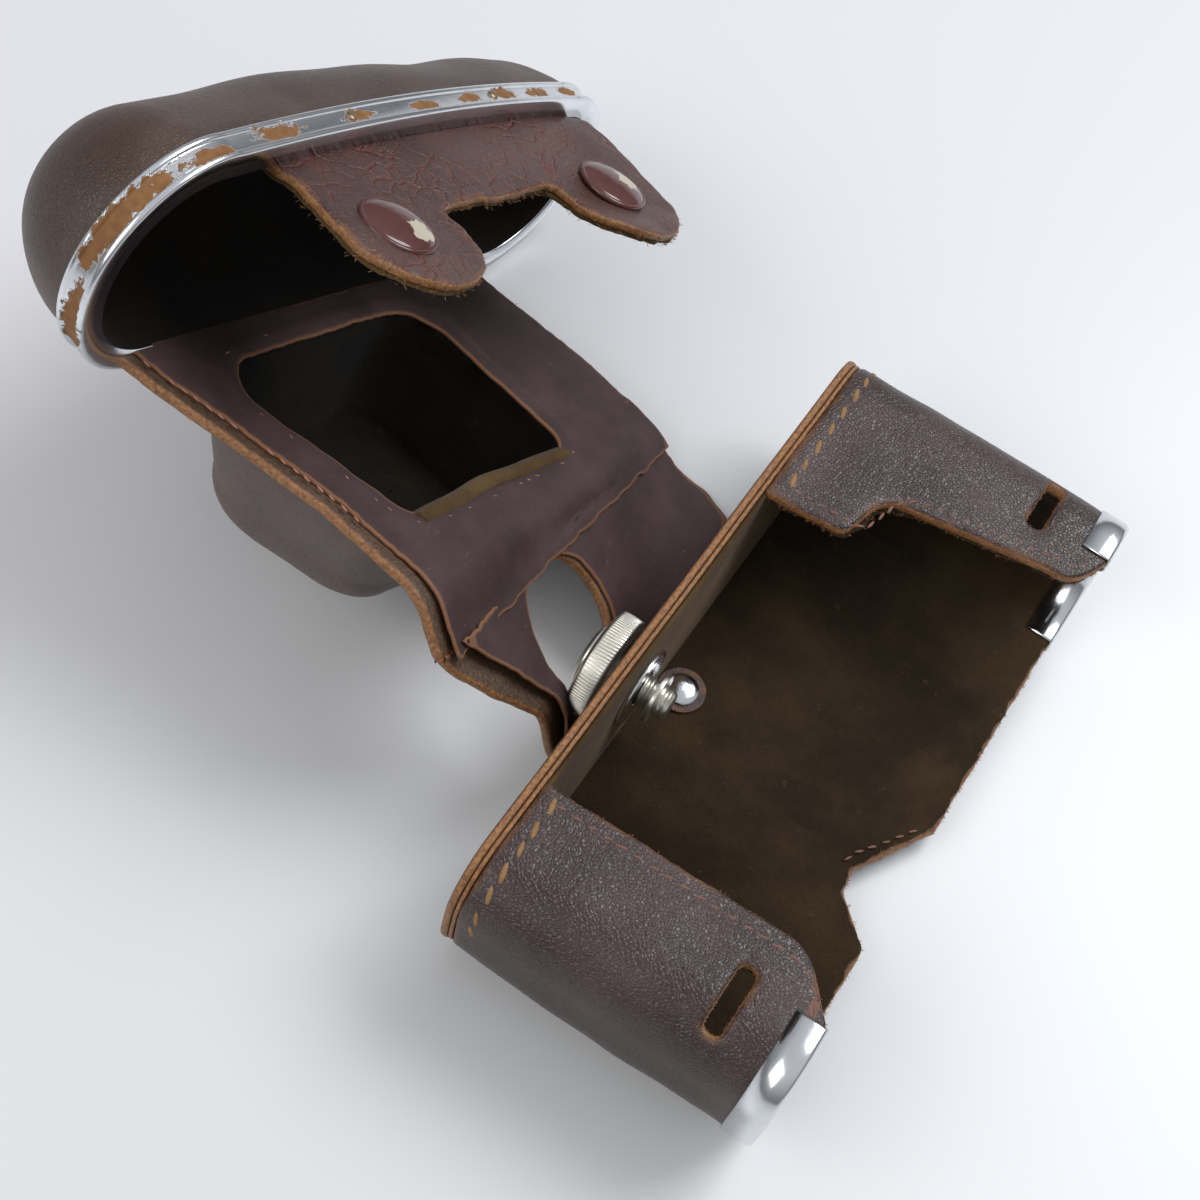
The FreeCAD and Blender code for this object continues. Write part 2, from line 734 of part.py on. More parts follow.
def nose_block(inset):
    """The nose as a solid inset by a wall: drafted sides, round corners and a rounded tip."""
    tip = size.leather + size.nose_depth - inset
    rows = []
    for level in (0, tip):
        z = panel_leather_back + level
        rows.append([Vector(x, y, z) for x, y, radius in nose_corners(inset, level)])
    root_row, tip_row = rows
    faces = [flat_face(root_row[::-1]), flat_face(tip_row)]
    for index in range(4):
        following = (index + 1) % 4
        faces.append(flat_face([
            root_row[index], root_row[following], tip_row[following], tip_row[index],
        ]))
    block = closed_solid(faces)
    for x, y, radius in nose_corners(inset, 0):
        corner = Vector(x, y, panel_leather_back)
        block = block.makeFillet(radius, [edge for edge in block.Edges if rises_from(edge, corner)])
    level = panel_leather_back + tip
    tip_edges = [edge for edge in block.Edges if edge.BoundBox.ZMin > level - 0.001]
    return block.makeFillet(size.nose_round - inset, tip_edges)


def rises_from(edge, corner):
    """Whether an edge leads away from the nose's root at this corner."""
    ends = [vertex.Point for vertex in edge.Vertexes]
    starts = min((end - corner).Length for end in ends) < 0.001
    return starts and edge.BoundBox.ZLength > size.nose_round


def make_nose(label, inset, thickness):
    """One moulded layer of the lens nose, open at its mouth."""
    return shaped(label, on_cover, nose_block(inset).cut(nose_block(inset + thickness)))


def make_mouth_strip():
    """Raised suede roll and raw strip along the lower edge of the nose mouth."""
    body = new_body("nose_mouth_strip", on_cover)
    low = size.nose_y - size.nose_half_height + wall
    left = size.nose_x + size.nose_half_width - size.nose_slant * 2 - wall - 3.0
    right = size.nose_x - size.nose_half_width + wall + 3.0
    loop = rounded_loop([
        (right, low - size.mouth_strip, 1.2),
        (left, low - size.mouth_strip, 1.2),
        (left, low, 1.2),
        (right, low, 1.2),
    ])
    level = "sizes.case_depth + sizes.panel_gap - sizes.mouth_roll"
    raise_front(body, level, [loop], "sizes.mouth_roll")
    return body


# Cover: dome

def dome_sections(body, inset):
    """Outlines from the rim to the crown, inset by a wall."""
    rim = size.rim_height + size.band_lip
    start = size.dome_skirt
    rise_over = size.dome_height - start - size.band_lip
    levels = [(0.0, 0.0), (start, 0.0)]
    for step in (1, 2, 3, 4):
        turn = math.radians(20 * step)
        level = start + (rise_over - inset) * math.sin(turn) / math.sin(math.radians(80))
        levels.append((level, size.dome_crown * (1 - math.cos(turn))))
    sketches = []
    for level, taper in levels:
        plan = dome_plan(inset + taper * (1 - inset / 40))
        sketches.append(plan_sketch(body, "%.4f" % (rim + level), [plan]))
    return sketches


def make_dome(label, inset, thickness):
    """One moulded layer of the dome, open at its rim."""
    body = new_body(label, on_cover)
    loft(body, "AdditiveLoft", dome_sections(body, inset))
    loft(body, "SubtractiveLoft", dome_sections(body, inset + thickness))
    return body


def make_rim_band():
    """Bright band round the dome's rim: a lip, a flat channel and two raised beads."""
    body = new_body("rim_band", on_cover)
    outer = -size.band_sheet
    rise(body, "sizes.rim_height", [dome_plan(outer), dome_plan(0)], "sizes.band_height")
    rise(body, "sizes.rim_height", [dome_plan(outer), dome_plan(wall)], "sizes.band_lip")
    proud = outer - size.bead_rise
    rise(body, "sizes.rim_height", [dome_plan(proud), dome_plan(outer + 0.2)], "sizes.bead")
    top = "sizes.rim_height + sizes.band_height - sizes.bead"
    rise(body, top, [dome_plan(proud), dome_plan(outer + 0.2)], "sizes.bead")
    front = rectangle(-size.band_start, dome_middle_z, size.band_start, dome_middle_z + size.case_length)
    sink(body, "sizes.rim_height - 1", [front], "sizes.band_height + 2")
    return body


def make_band_pins():
    """Round-headed pins on the band's channel, square to its arched rear."""
    arch_radius = (size.dome_end ** 2 + size.dome_arch ** 2) / (2 * size.dome_arch)
    middle = dome_middle_z - size.dome_end_radius - size.dome_arch - size.band_sheet + arch_radius
    level = size.rim_height + size.band_height / 2
    heads = []
    for x in (-size.pin_spread, size.pin_spread):
        turn = math.asin(x / arch_radius)
        outward = Vector(math.sin(turn), 0, -math.cos(turn))
        foot = Vector(0, level, middle) + outward * arch_radius
        heads.append(Part.makeCone(size.pin_radius, size.pin_radius * 0.5, size.pin_rise, foot, outward))
    return shaped("band_pins", on_cover, Part.makeCompound(heads))


def tab_ends():
    """Both ends (x) of the tab where it bends over the dome's rim."""
    left = size.left_snap_x + size.tongue_radius - size.tab_end_setback
    right = size.right_snap_x - size.right_tongue_radius - size.tab_spread
    return right, left


def make_tab_root():
    """Upper end of the tab, sewn to the inside of the dome's rear wall."""
    body = new_body("tab_root", on_cover)
    level = "sizes.rim_height - sizes.band_lip"
    rise(body, level, [dome_plan(wall), dome_plan(wall + size.tab_leather)], "sizes.band_height")
    far = size.case_length
    keep_right, keep_left = tab_ends()
    sides = [
        rectangle(keep_left, -far, far, far),
        rectangle(-far, -far, keep_right, far),
        rectangle(keep_right, dome_middle_z, keep_left, far),
    ]
    for side in sides:
        sink(body, level + " - 1", [side], "sizes.band_height + 2")
    return body


# Tab

def snap_holes(radius):
    """Holes for both snaps (x, y)."""
    return [
        circle(size.left_snap_x, size.left_snap_y, radius),
        circle(size.right_snap_x, size.right_snap_y, radius),
    ]


def make_tab_leather():
    """Outer leather of the tab, pierced for the snaps."""
    body = new_body("tab_leather", on_cover)
    level = "0 - sizes.tab_gap - sizes.tab_backing - sizes.tab_leather"
    raise_front(body, level, [tab_outline(0)] + snap_holes(size.snap_post), "sizes.tab_leather")
    return body


def make_tab_backing():
    """Backing under the tab's leather, cut round the sockets."""
    body = new_body("tab_backing", on_cover)
    level = "0 - sizes.tab_gap - sizes.tab_backing"
    loops = [tab_outline(size.backing_inset)] + snap_holes(size.socket_radius)
    raise_front(body, level, loops, "sizes.tab_backing")
    return body


def make_snap_cap(label, x, y):
    """Domed cap on the tab's face with the post that holds it."""
    profile = [
        ("0", "0 - sizes.tab_leather"),
        ("sizes.snap_post", "0 - sizes.tab_leather"),
        ("sizes.snap_post", "0"),
        ("sizes.cap_radius", "0"),
        ("sizes.cap_radius", "0.5"),
        ("sizes.cap_radius - 0.6", "sizes.cap_rise * 0.62"),
        ("sizes.cap_radius * 0.72", "sizes.cap_rise * 0.85"),
        ("sizes.cap_radius * 0.42", "sizes.cap_rise * 0.97"),
        ("0", "sizes.cap_rise"),
    ]
    return turned(label, on_cover * axis_out(x, y, tab_outer), profile)


def make_snap_socket(label, x, y):
    """Socket that closes round the stud's head, seated in the tab's backing."""
    inner = "sizes.stud_head + sizes.socket_play"
    profile = [
        ("0", "0"),
        ("sizes.socket_radius", "0"),
        ("sizes.socket_radius", "sizes.tab_backing + 0.2"),
        ("sizes.socket_radius - 0.5", "sizes.tab_backing + 0.5"),
        (inner, "sizes.tab_backing + 0.5"),
        (inner, "0.2"),
        ("0", "0.2"),
    ]
    place = on_cover * Placement(Vector(x, y, tab_mid), Rotation())
    return turned(label, place, profile)


# Leather folds, drawn at rest between the end faces they join

def fold_section(place, corners):
    """A section of a fold, placed and then carried back to the case's frame: out along one side
    of the leather and back along the other."""
    return [home.inverse() * place * Vector(*corner) for corner in corners]


def fold_strip(sections):
    """Bent leather through a row of sections, each twisted side drawn as two flat triangles."""
    faces = []
    first = sections[0][::-1]
    last = sections[-1]
    for end in (first, last):
        for index in range(len(end) // 2 - 1):
            faces.append(flat_face([end[index], end[index + 1], end[-2 - index], end[-1 - index]]))
    for near, far in zip(sections, sections[1:]):
        for index in range(len(near)):
            following = (index + 1) % len(near)
            faces.append(flat_face([near[index], near[following], far[following]]))
            faces.append(flat_face([near[index], far[following], far[index]]))
    return closed_solid(faces)


def make_root_fold():
    """Fold between the riveted root and the flap; one strip passes round the knob."""
    low = -size.leather / 2
    outer = -size.flap_gap - size.flap_lining - size.flap_leather
    inner = outer + size.flap_leather
    start = size.flap_start
    foot = -size.root_sheet
    right = size.flap_root_right
    left = size.knob_bay_start
    straight = [
        fold_section(home, [(right, low, 0), (left, low, 0), (left, low, foot), (right, low, foot)]),
        fold_section(on_flap, [
            (right, inner, start), (left, inner, start), (left, outer, start), (right, outer, start),
        ]),
    ]
    clear = size.screw_x + size.knob_radius + 1.0
    hole_drop = size.screw_z - size.knob_bay
    ring_edge = size.screw_x + math.sqrt(size.flap_hole ** 2 - hole_drop ** 2)
    arm_edge = size.flap_root_left + 7.5
    root_edge = size.flap_root_left
    narrow = left + 8.0
    bay = size.knob_bay
    round_the_knob = [
        fold_section(home, [
            (narrow, low, 0), (root_edge, low, 0), (root_edge, low, foot), (narrow, low, foot),
        ]),
        fold_section(home, [
            (clear, low - 3.0, 7.0), (clear + 6.0, low - 2.8, 7.5),
            (clear + 6.6, low - 4.6, 6.4), (clear + 0.6, low - 4.8, 5.9),
        ]),
        fold_section(on_flap, [
            (ring_edge, inner, bay), (arm_edge, inner, bay), (arm_edge, outer, bay), (ring_edge, outer, bay),
        ]),
    ]
    strips = Part.makeCompound([fold_strip(straight), fold_strip(round_the_knob)])
    return shaped("root_fold", home, strips)


def make_front_fold():
    """Fold between the flap and the front panel."""
    left = size.panel_left - size.fold_setback
    right = -size.panel_right + size.fold_setback
    outer = -size.flap_gap - size.flap_lining - size.flap_leather
    inner = outer + size.flap_leather
    bend = size.fold_bend
    edge_slope = (size.panel_start_right - size.panel_start) / (bend + size.panel_right)
    right_start = size.panel_start + (bend - right) * edge_slope
    flap_edge = [(right, size.flap_end_right), (bend, size.flap_end), (left, size.flap_end)]
    panel_edge = [(right, right_start), (bend, size.panel_start), (left, size.panel_start)]
    on_flap_end = [(x, inner, z) for x, z in flap_edge] + [(x, outer, z) for x, z in reversed(flap_edge)]
    on_panel_end = [(x, y, panel_leather_back) for x, y in panel_edge]
    on_panel_end += [(x, y, panel_front) for x, y in reversed(panel_edge)]
    sections = [fold_section(on_flap, on_flap_end), fold_section(on_cover, on_panel_end)]
    return shaped("front_fold", home, fold_strip(sections))


def make_tab_fold():
    """Fold between the tab's root in the dome and the tab."""
    right, left = tab_ends()
    top = size.rim_height - size.band_lip
    end_z = dome_middle_z - size.dome_end_radius + wall
    root = fold_section(on_cover, [
        (right, top, end_z), (0, top, end_z - size.dome_arch), (left, top, end_z),
        (left, top, end_z + size.tab_leather), (0, top, end_z - size.dome_arch + size.tab_leather),
        (right, top, end_z + size.tab_leather),
    ])
    tab = fold_section(on_cover, [
        (right, size.tab_top, tab_outer), (0, size.tab_top, tab_outer), (left, size.tab_top, tab_outer),
        (left, size.tab_top, tab_mid), (0, size.tab_top, tab_mid), (right, size.tab_top, tab_mid),
    ])
    return shaped("tab_fold", home, fold_strip([root, tab]))


washer_hole = "sizes.screw_radius + sizes.screw_play"
washer_sheet = "sizes.washer_sheet"
washer_edge = "sizes.washer_radius"
flap_outer_level = "0 - sizes.flap_gap - sizes.flap_lining - sizes.flap_leather"
flap_lining_level = "0 - sizes.flap_gap - sizes.flap_lining"

pieces = [
    make_body_wrap(),
    make_body_lining(),
    make_bottom_wall(),
    make_bottom_lining(),
    make_rim_trim("left_rim_trim", 1),
    make_rim_trim("right_rim_trim", -1),
    make_flap_root(),
    make_flap_rivet(),
    ring("rivet_washer", rivet_place(wall), "sizes.rivet_washer_radius", "sizes.rivet_shank",
         "sizes.rivet_foot"),
    make_snap_stud("left_snap_stud", size.left_snap_x, size.left_snap_y),
    make_snap_stud("right_snap_stud", size.right_snap_x, size.right_snap_y),
    ring("outer_screw_washer", screw_place(-size.washer_sheet), washer_edge, washer_hole, washer_sheet),
    ring("inner_screw_washer", screw_place(wall), washer_edge, washer_hole, washer_sheet),
    make_tripod_screw(),
    make_screw_knob(),
    make_retaining_ring(),
    make_flap_piece("flap_leather", flap_outline(0), flap_outer_level, "sizes.flap_leather"),
    make_flap_piece("flap_lining", flap_outline(size.lining_setback), flap_lining_level, "sizes.flap_lining"),
    make_front_panel(),
    make_panel_lining(),
    make_nose("nose_shell", 0.0, size.leather),
    make_nose("nose_lining", size.leather, size.lining),
    make_mouth_strip(),
    make_dome("dome_shell", 0.0, size.leather),
    make_dome("dome_lining", size.leather, size.lining),
    make_rim_band(),
    make_band_pins(),
    make_tab_root(),
    make_tab_leather(),
    make_tab_backing(),
    make_snap_cap("left_snap_cap", size.left_snap_x, size.left_snap_y),
    make_snap_cap("right_snap_cap", size.right_snap_x, size.right_snap_y),
    make_snap_socket("left_snap_socket", size.left_snap_x, size.left_snap_y),
    make_snap_socket("right_snap_socket", size.right_snap_x, size.right_snap_y),
    make_root_fold(),
    make_front_fold(),
    make_tab_fold(),
]
doc.recompute()

# Every feature must have built, and every piece must be a sound solid, before anything is written
failed = [item.Label for item in doc.Objects if {"Invalid", "Error"} & set(item.State)]
if failed:
    raise RuntimeError("features that failed: " + ", ".join(failed))
for piece in pieces:
    if piece.Shape.isNull() or not piece.Shape.isValid() or piece.Shape.Volume <= 0:
        raise RuntimeError("unsound piece: " + piece.Label)

os.makedirs("parts", exist_ok=True)
for piece in pieces:
    piece.Shape.exportStep("parts/%s.step" % piece.Label)
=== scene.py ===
import math

import bpy
import numpy as np
from mathutils import Matrix, Vector, geometry


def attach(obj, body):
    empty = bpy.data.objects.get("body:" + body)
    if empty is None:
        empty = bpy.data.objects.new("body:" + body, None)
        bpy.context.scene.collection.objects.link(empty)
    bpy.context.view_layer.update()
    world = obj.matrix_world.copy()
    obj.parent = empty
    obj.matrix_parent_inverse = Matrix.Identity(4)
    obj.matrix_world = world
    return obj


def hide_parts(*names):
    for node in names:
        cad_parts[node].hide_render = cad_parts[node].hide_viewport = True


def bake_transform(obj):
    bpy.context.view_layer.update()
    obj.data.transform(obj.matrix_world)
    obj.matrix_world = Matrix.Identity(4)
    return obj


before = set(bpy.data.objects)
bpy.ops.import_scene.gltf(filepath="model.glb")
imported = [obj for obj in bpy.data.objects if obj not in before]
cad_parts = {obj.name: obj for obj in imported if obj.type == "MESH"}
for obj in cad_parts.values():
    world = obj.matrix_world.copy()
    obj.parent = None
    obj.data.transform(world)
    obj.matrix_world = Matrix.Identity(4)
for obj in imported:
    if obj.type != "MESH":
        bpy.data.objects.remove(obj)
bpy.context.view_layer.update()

# Leather camera case, opened on a table. Lengths in this file are millimetres in the frame of the
# closed case: X along the case, Y from the bottom wall up to the lid, Z from the back to the front.
MM = 0.001


def turned_about(axis, degrees, pivot):
    """A turn about an axis through a pivot, as a 4 x 4 matrix."""
    pivot = Vector(pivot)
    turn = Matrix.Rotation(math.radians(degrees), 4, Vector(axis))
    return np.array(Matrix.Translation(pivot) @ turn @ Matrix.Translation(-pivot))


HOME = np.array(Matrix.Translation((11.26, 27.27, 3.0)))
FLAP = turned_about((0.9244, -0.2486, 0.2894), 55.61, (-6.02, -3.11, 0.37))
COVER = FLAP @ turned_about((0.9839, -0.0927, 0.1526), 119.21, (1.05, 2.01, 34.13))
ON_COVER = HOME @ COVER


def moved(matrix, points):
    """Points carried by a 4 x 4 matrix."""
    return points @ matrix[:3, :3].T + matrix[:3, 3]


def ripple(points, size, seed):
    """A smooth value between about -1 and 1 that wanders over a distance of size."""
    draw = np.random.RandomState(seed)
    total = np.zeros(len(points))
    for _ in range(7):
        way = draw.normal(size=3)
        way /= np.linalg.norm(way)
        total += np.sin(points @ way * (2 * math.pi / size) * draw.uniform(0.6, 1.5) + draw.uniform(0, 7))
    return total / 3.4


def smooth(low, high, value):
    """0 below low, 1 above high and a soft rise between them."""
    t = np.clip((value - low) / (high - low), 0, 1)
    return t * t * (3 - 2 * t)


# Material kit

class Value:
    """A socket in a material; arithmetic on it adds Math nodes."""

    def __init__(self, kit, socket):
        self.kit = kit
        self.socket = socket

    def math(self, operation, first, second=0.0, clamp=False):
        settings = {"operation": operation, "use_clamp": clamp}
        return self.kit.node("ShaderNodeMath", settings, first, second)

    def __add__(self, other):
        return self.math("ADD", self, other)

    def __radd__(self, other):
        return self.math("ADD", other, self)

    def __sub__(self, other):
        return self.math("SUBTRACT", self, other)

    def __rsub__(self, other):
        return self.math("SUBTRACT", other, self)

    def __mul__(self, other):
        return self.math("MULTIPLY", self, other)

    def __rmul__(self, other):
        return self.math("MULTIPLY", other, self)

    def __pow__(self, other):
        return self.math("POWER", self, other)

    def clamped(self):
        return self.math("ADD", self, 0.0, True)

    def rise(self, low, high):
        """0 below low, 1 above high, smooth between."""
        settings = {"interpolation_type": "SMOOTHSTEP"}
        return self.kit.node("ShaderNodeMapRange", settings, self, low, high, 0.0, 1.0)


class Finish:
    """One material for one of the case's surfaces."""

    def __init__(self, name):
        self.material = bpy.data.materials.new(name)
        self.material.use_nodes = True
        self.tree = self.material.node_tree
        self.tree.nodes.clear()
        self.shader = self.tree.nodes.new("ShaderNodeBsdfPrincipled")
        self.output = self.tree.nodes.new("ShaderNodeOutputMaterial")
        self.tree.links.new(self.shader.outputs[0], self.output.inputs[0])
        self.place = self.node("ShaderNodeTexCoord", {}, out=3)

    def node(self, kind, settings, *values, out=0, **named):
        """Adds a node: its settings first, then the values or links of its sockets."""
        node = self.tree.nodes.new(kind)
        for key, value in settings.items():
            if key == "stops":
                ramp = node.color_ramp.elements
                while len(ramp) < len(value):
                    ramp.new(0.5)
                for stop, (at, colour) in zip(ramp, value):
                    stop.position = at
                    stop.color = (*colour, 1.0)
            else:
                setattr(node, key, value)
        pairs = [(node.inputs[index], value) for index, value in enumerate(values) if value is not None]
        pairs += [(node.inputs[key.replace("_", " ")], value) for key, value in named.items()]
        for socket, value in pairs:
            self.feed(socket, value)
        return Value(self, node.outputs[out])

    def feed(self, socket, value):
        if isinstance(value, Value):
            self.tree.links.new(value.socket, socket)
        elif socket.type == "RGBA":
            socket.default_value = (*value[:3], 1.0)
        else:
            socket.default_value = value

    def noise(self, scale, detail=3.0, roughness=0.55, place=None, distortion=0.0):
        """Noise over the piece; scale is in turns a metre."""
        return self.node("ShaderNodeTexNoise", {}, Vector=place or self.place, Scale=scale, Detail=detail,
                         Roughness=roughness, Distortion=distortion)

    def cells(self, scale, place=None, feature="DISTANCE_TO_EDGE"):
        """Distance from the cracks between cells."""
        return self.node("ShaderNodeTexVoronoi", {"feature": feature}, Vector=place or self.place, Scale=scale)

    def stretched(self, x, y, z, turn=(0.0, 0.0, 0.0)):
        """Object coordinates stretched and turned, for a pattern with a direction."""
        return self.node("ShaderNodeMapping", {}, self.place, Rotation=turn, Scale=(x, y, z))

    def warped(self, scale, amount):
        """Object coordinates pushed about by noise, so that cracks wander."""
        push = self.node("ShaderNodeTexNoise", {}, Vector=self.place, Scale=scale, Detail=2.0, out=1)
        push = self.node("ShaderNodeVectorMath", {"operation": "SCALE"}, push, Scale=amount)
        return self.node("ShaderNodeVectorMath", {"operation": "ADD"}, self.place, push)

    def marked(self, name):
        """A value painted on the mesh, by its name."""
        return self.node("ShaderNodeAttribute", {"attribute_name": name}, out=2)

    def mixed(self, share, first, second):
        """A colour between two colours."""
        blank = (None,) * 5
        return self.node("ShaderNodeMix", {"data_type": "RGBA"}, share, *blank, first, second, out=2)

    def done(self, colour, roughness, height=None, depth=0.0002, **constants):
        """Feeds the shader; constants are set on its own sockets."""
        self.feed(self.shader.inputs["Base Color"], colour)
        self.feed(self.shader.inputs["Roughness"], roughness)
        if height is not None:
            bump = self.node("ShaderNodeBump", {}, Strength=1.0, Distance=depth, Height=height)
            self.feed(self.shader.inputs["Normal"], bump)
        for key, value in constants.items():
            self.feed(self.shader.inputs[key.replace("_", " ")], value)
        return self.material


RAW = (0.40, 0.185, 0.062)
RAW_DARK = (0.16, 0.062, 0.022)


def moulded_leather(name, colour, lit, gloss, scuff, cracks=0.0):
    """Dark leather: creased grain outside, raw tan edges, flesh side inside, rubbed near its edges."""
    kit = Finish(name)
    rim = kit.marked("rim")
    depth = kit.marked("depth")
    tone = kit.noise(38.0, 4.0)
    fine = kit.noise(900.0, 3.0)
    crease = kit.noise(260.0, 4.0, 0.6, kit.stretched(1.0, 0.28, 0.55, (0.3, 0.5, 0.6)), 0.8)
    pores = kit.cells(1500.0)
    grain = kit.mixed(tone.rise(0.36, 0.68), colour, lit)
    grain = kit.mixed((fine.rise(0.55, 0.75)) * 0.25, grain, (0.012, 0.007, 0.006))
    rub = kit.noise(150.0, 6.0, 0.7)
    patch = kit.noise(22.0, 3.0)
    worn = (patch.rise(0.56, 0.72) * rub.rise(0.52, 0.62) * scuff).clamped()
    edge_worn = ((1.0 - rim.rise(0.1, 1.6)) * rub.rise(0.42, 0.6)).clamped()
    wear = kit.node("ShaderNodeMath", {"operation": "MAXIMUM"}, worn, edge_worn * min(1.0, scuff * 1.4 + 0.15))
    grain = kit.mixed(wear, grain, kit.mixed(fine, RAW_DARK, RAW))
    height = crease * 0.55 + pores.rise(0.0, 0.25) * 0.30 + fine * 0.25 - wear * 0.5
    if cracks > 0:
        split = kit.cells(210.0, kit.warped(120.0, 0.006))
        line = 1.0 - split.rise(0.0, 0.10)
        line = (line * kit.noise(60.0, 2.0).rise(0.40, 0.62) * cracks).clamped()
        grain = kit.mixed(line, grain, (0.12, 0.025, 0.012))
        height = height - line * 1.2
    fibre = kit.noise(1400.0, 4.0, 0.7, kit.stretched(1.0, 1.0, 1.0))
    raw = kit.mixed(fibre.rise(0.3, 0.7), RAW_DARK, RAW)
    flesh = kit.mixed(fibre.rise(0.3, 0.75), (0.05, 0.026, 0.014), (0.13, 0.07, 0.035))
    inner = kit.mixed(depth.rise(0.90, 0.995), raw, flesh)
    side = depth.rise(0.10, 0.26)
    surface = kit.mixed(side, grain, inner)
    rough = side * 0.45 + (1.0 - side) * (gloss + tone * 0.16 + wear * 0.35)
    height = height * (1.0 - side) + fibre * side * 1.3
    return kit.done(surface, rough, height, 0.00022, Specular_IOR_Level=0.55)


def thin_lining(name):
    """Purple-brown lining leather, matt, with faint wrinkles."""
    kit = Finish(name)
    rim = kit.marked("rim")
    tone = kit.noise(45.0, 5.0, 0.6)
    fine = kit.noise(1500.0, 3.0)
    wrinkle = kit.noise(170.0, 5.0, 0.62, kit.stretched(0.35, 1.0, 0.8, (0.2, 0.4, 0.5)), 1.2)
    base = kit.mixed(tone.rise(0.3, 0.72), (0.040, 0.021, 0.020), (0.082, 0.047, 0.047))
    base = kit.mixed(wrinkle.rise(0.62, 0.8) * 0.35, base, (0.12, 0.075, 0.07))
    speck = kit.noise(700.0, 2.0).rise(0.70, 0.76)
    base = kit.mixed(speck * 0.5, base, (0.20, 0.10, 0.07))
    edge = (1.0 - rim.rise(0.0, 0.9)) * 0.85
    base = kit.mixed(edge, base, (0.26, 0.12, 0.055))
    height = wrinkle * 0.8 + fine * 0.35 + tone * 0.4
    return kit.done(base, 0.62 + fine * 0.12, height, 0.00025, Specular_IOR_Level=0.35)


def napped(name, dark, light, warm, sheen):
    """Suede or velvet: short nap, rubbed lighter in patches."""
    kit = Finish(name)
    tone = kit.noise(30.0, 5.0, 0.65)
    nap = kit.noise(1900.0, 4.0, 0.7)
    speckle = kit.noise(420.0, 4.0, 0.7)
    brushed = kit.noise(120.0, 4.0, 0.6, kit.stretched(1.0, 0.3, 0.5, (0.0, 0.4, 0.8)))
    base = kit.mixed(tone.rise(0.35, 0.70), dark, light)
    base = kit.mixed(brushed.rise(0.60, 0.85) * 0.55, base, warm)
    base = kit.mixed(speckle.rise(0.62, 0.72) * 0.35, base, warm)
    base = kit.mixed(nap.rise(0.5, 0.75) * 0.4, base, dark)
    height = nap * 1.0 + speckle * 0.6 + brushed * 0.5
    return kit.done(base, 0.95, height, 0.00035, Sheen_Weight=sheen, Sheen_Roughness=0.45,
                    Specular_IOR_Level=0.12)


def thread(name, dark, light):
    """Twisted sewing thread."""
    kit = Finish(name)
    ply = kit.noise(1600.0, 2.0, 0.5, kit.stretched(1.0, 0.4, 1.0, (0.5, 0.5, 0.3)))
    tone = kit.noise(220.0, 3.0)
    base = kit.mixed((ply * 0.6 + tone * 0.5).clamped(), dark, light)
    return kit.done(base, 0.72, ply, 0.00012)


def bright_metal(name, colour, roughness, residue=0.0):
    """Plated metal with fine scratches; residue leaves brown patches of old glue and lacquer."""
    kit = Finish(name)
    scratch = kit.noise(700.0, 4.0, 0.6, kit.stretched(0.12, 1.0, 0.5, (0.1, 0.3, 0.4)))
    cloud = kit.noise(90.0, 4.0)
    base = kit.mixed(cloud.rise(0.45, 0.75) * 0.5, colour, tuple(c * 0.72 for c in colour))
    pit = kit.noise(1300.0, 3.0).rise(0.70, 0.78)
    base = kit.mixed(pit * 0.6, base, (0.16, 0.13, 0.10))
    rough = scratch * 0.12 + cloud * 0.10 + roughness
    metal = 1.0
    height = scratch * 0.5
    if residue > 0:
        patch = kit.marked("residue")
        torn = kit.noise(330.0, 5.0, 0.72)
        mask = (patch + (torn - 0.5) * 1.1).rise(0.50, 0.58)
        crust = kit.mixed(kit.noise(520.0, 4.0), (0.10, 0.040, 0.012), (0.36, 0.17, 0.055))
        base = kit.mixed(mask, base, crust)
        rough = rough + mask * 0.6
        metal = 1.0 - mask
        height = height + mask * 1.6 + torn * mask
    kit.feed(kit.shader.inputs["Metallic"], metal)
    return kit.done(base, rough, height, 0.00008)


def lacquer(name):
    """Glossy brown snap caps; a cream patch on one side of each is partly paint broken away to a cream ground and
    partly a painted reflection of the light.
    """
    kit = Finish(name)
    chip = kit.marked("chip")
    torn = kit.noise(480.0, 4.0, 0.65)
    mask = (chip + (torn - 0.5) * 0.9).rise(0.50, 0.55)
    tone = kit.noise(300.0, 3.0)
    brown = kit.mixed(tone, (0.070, 0.020, 0.016), (0.115, 0.036, 0.028))
    # Cream patch: partly worn paint, partly a painted reflection of the light on the glossy cap.
    base = kit.mixed(mask, brown, (0.52, 0.47, 0.36))
    rough = 0.16 + mask * 0.45
    return kit.done(base, rough, tone * 0.2 - mask * 0.8, 0.0001, Coat_Weight=0.4, Coat_Roughness=0.08)


CASE_LEATHER = moulded_leather("case_leather", (0.036, 0.019, 0.016), (0.064, 0.038, 0.034), 0.26, 0.18)
DOME_LEATHER = moulded_leather("dome_leather", (0.050, 0.027, 0.018), (0.090, 0.058, 0.044), 0.34, 0.55)
NOSE_LEATHER = moulded_leather("nose_leather", (0.085, 0.060, 0.052), (0.125, 0.094, 0.084), 0.38, 0.40)
FLAP_LEATHER = moulded_leather("flap_leather", (0.050, 0.027, 0.024), (0.078, 0.045, 0.042), 0.40, 0.30)
TAB_LEATHER = moulded_leather("tab_leather", (0.060, 0.024, 0.018), (0.095, 0.045, 0.036), 0.30, 0.22, 0.9)
LINING = thin_lining("lining_leather")
SUEDE = napped("olive_suede", (0.020, 0.012, 0.006), (0.052, 0.032, 0.014), (0.10, 0.062, 0.028), 0.10)
VELVET = napped("dark_velvet", (0.006, 0.0045, 0.003), (0.013, 0.010, 0.006), (0.030, 0.021, 0.010), 0.05)
OCHRE = napped("ochre_suede", (0.070, 0.038, 0.012), (0.155, 0.095, 0.034), (0.22, 0.14, 0.06), 0.10)
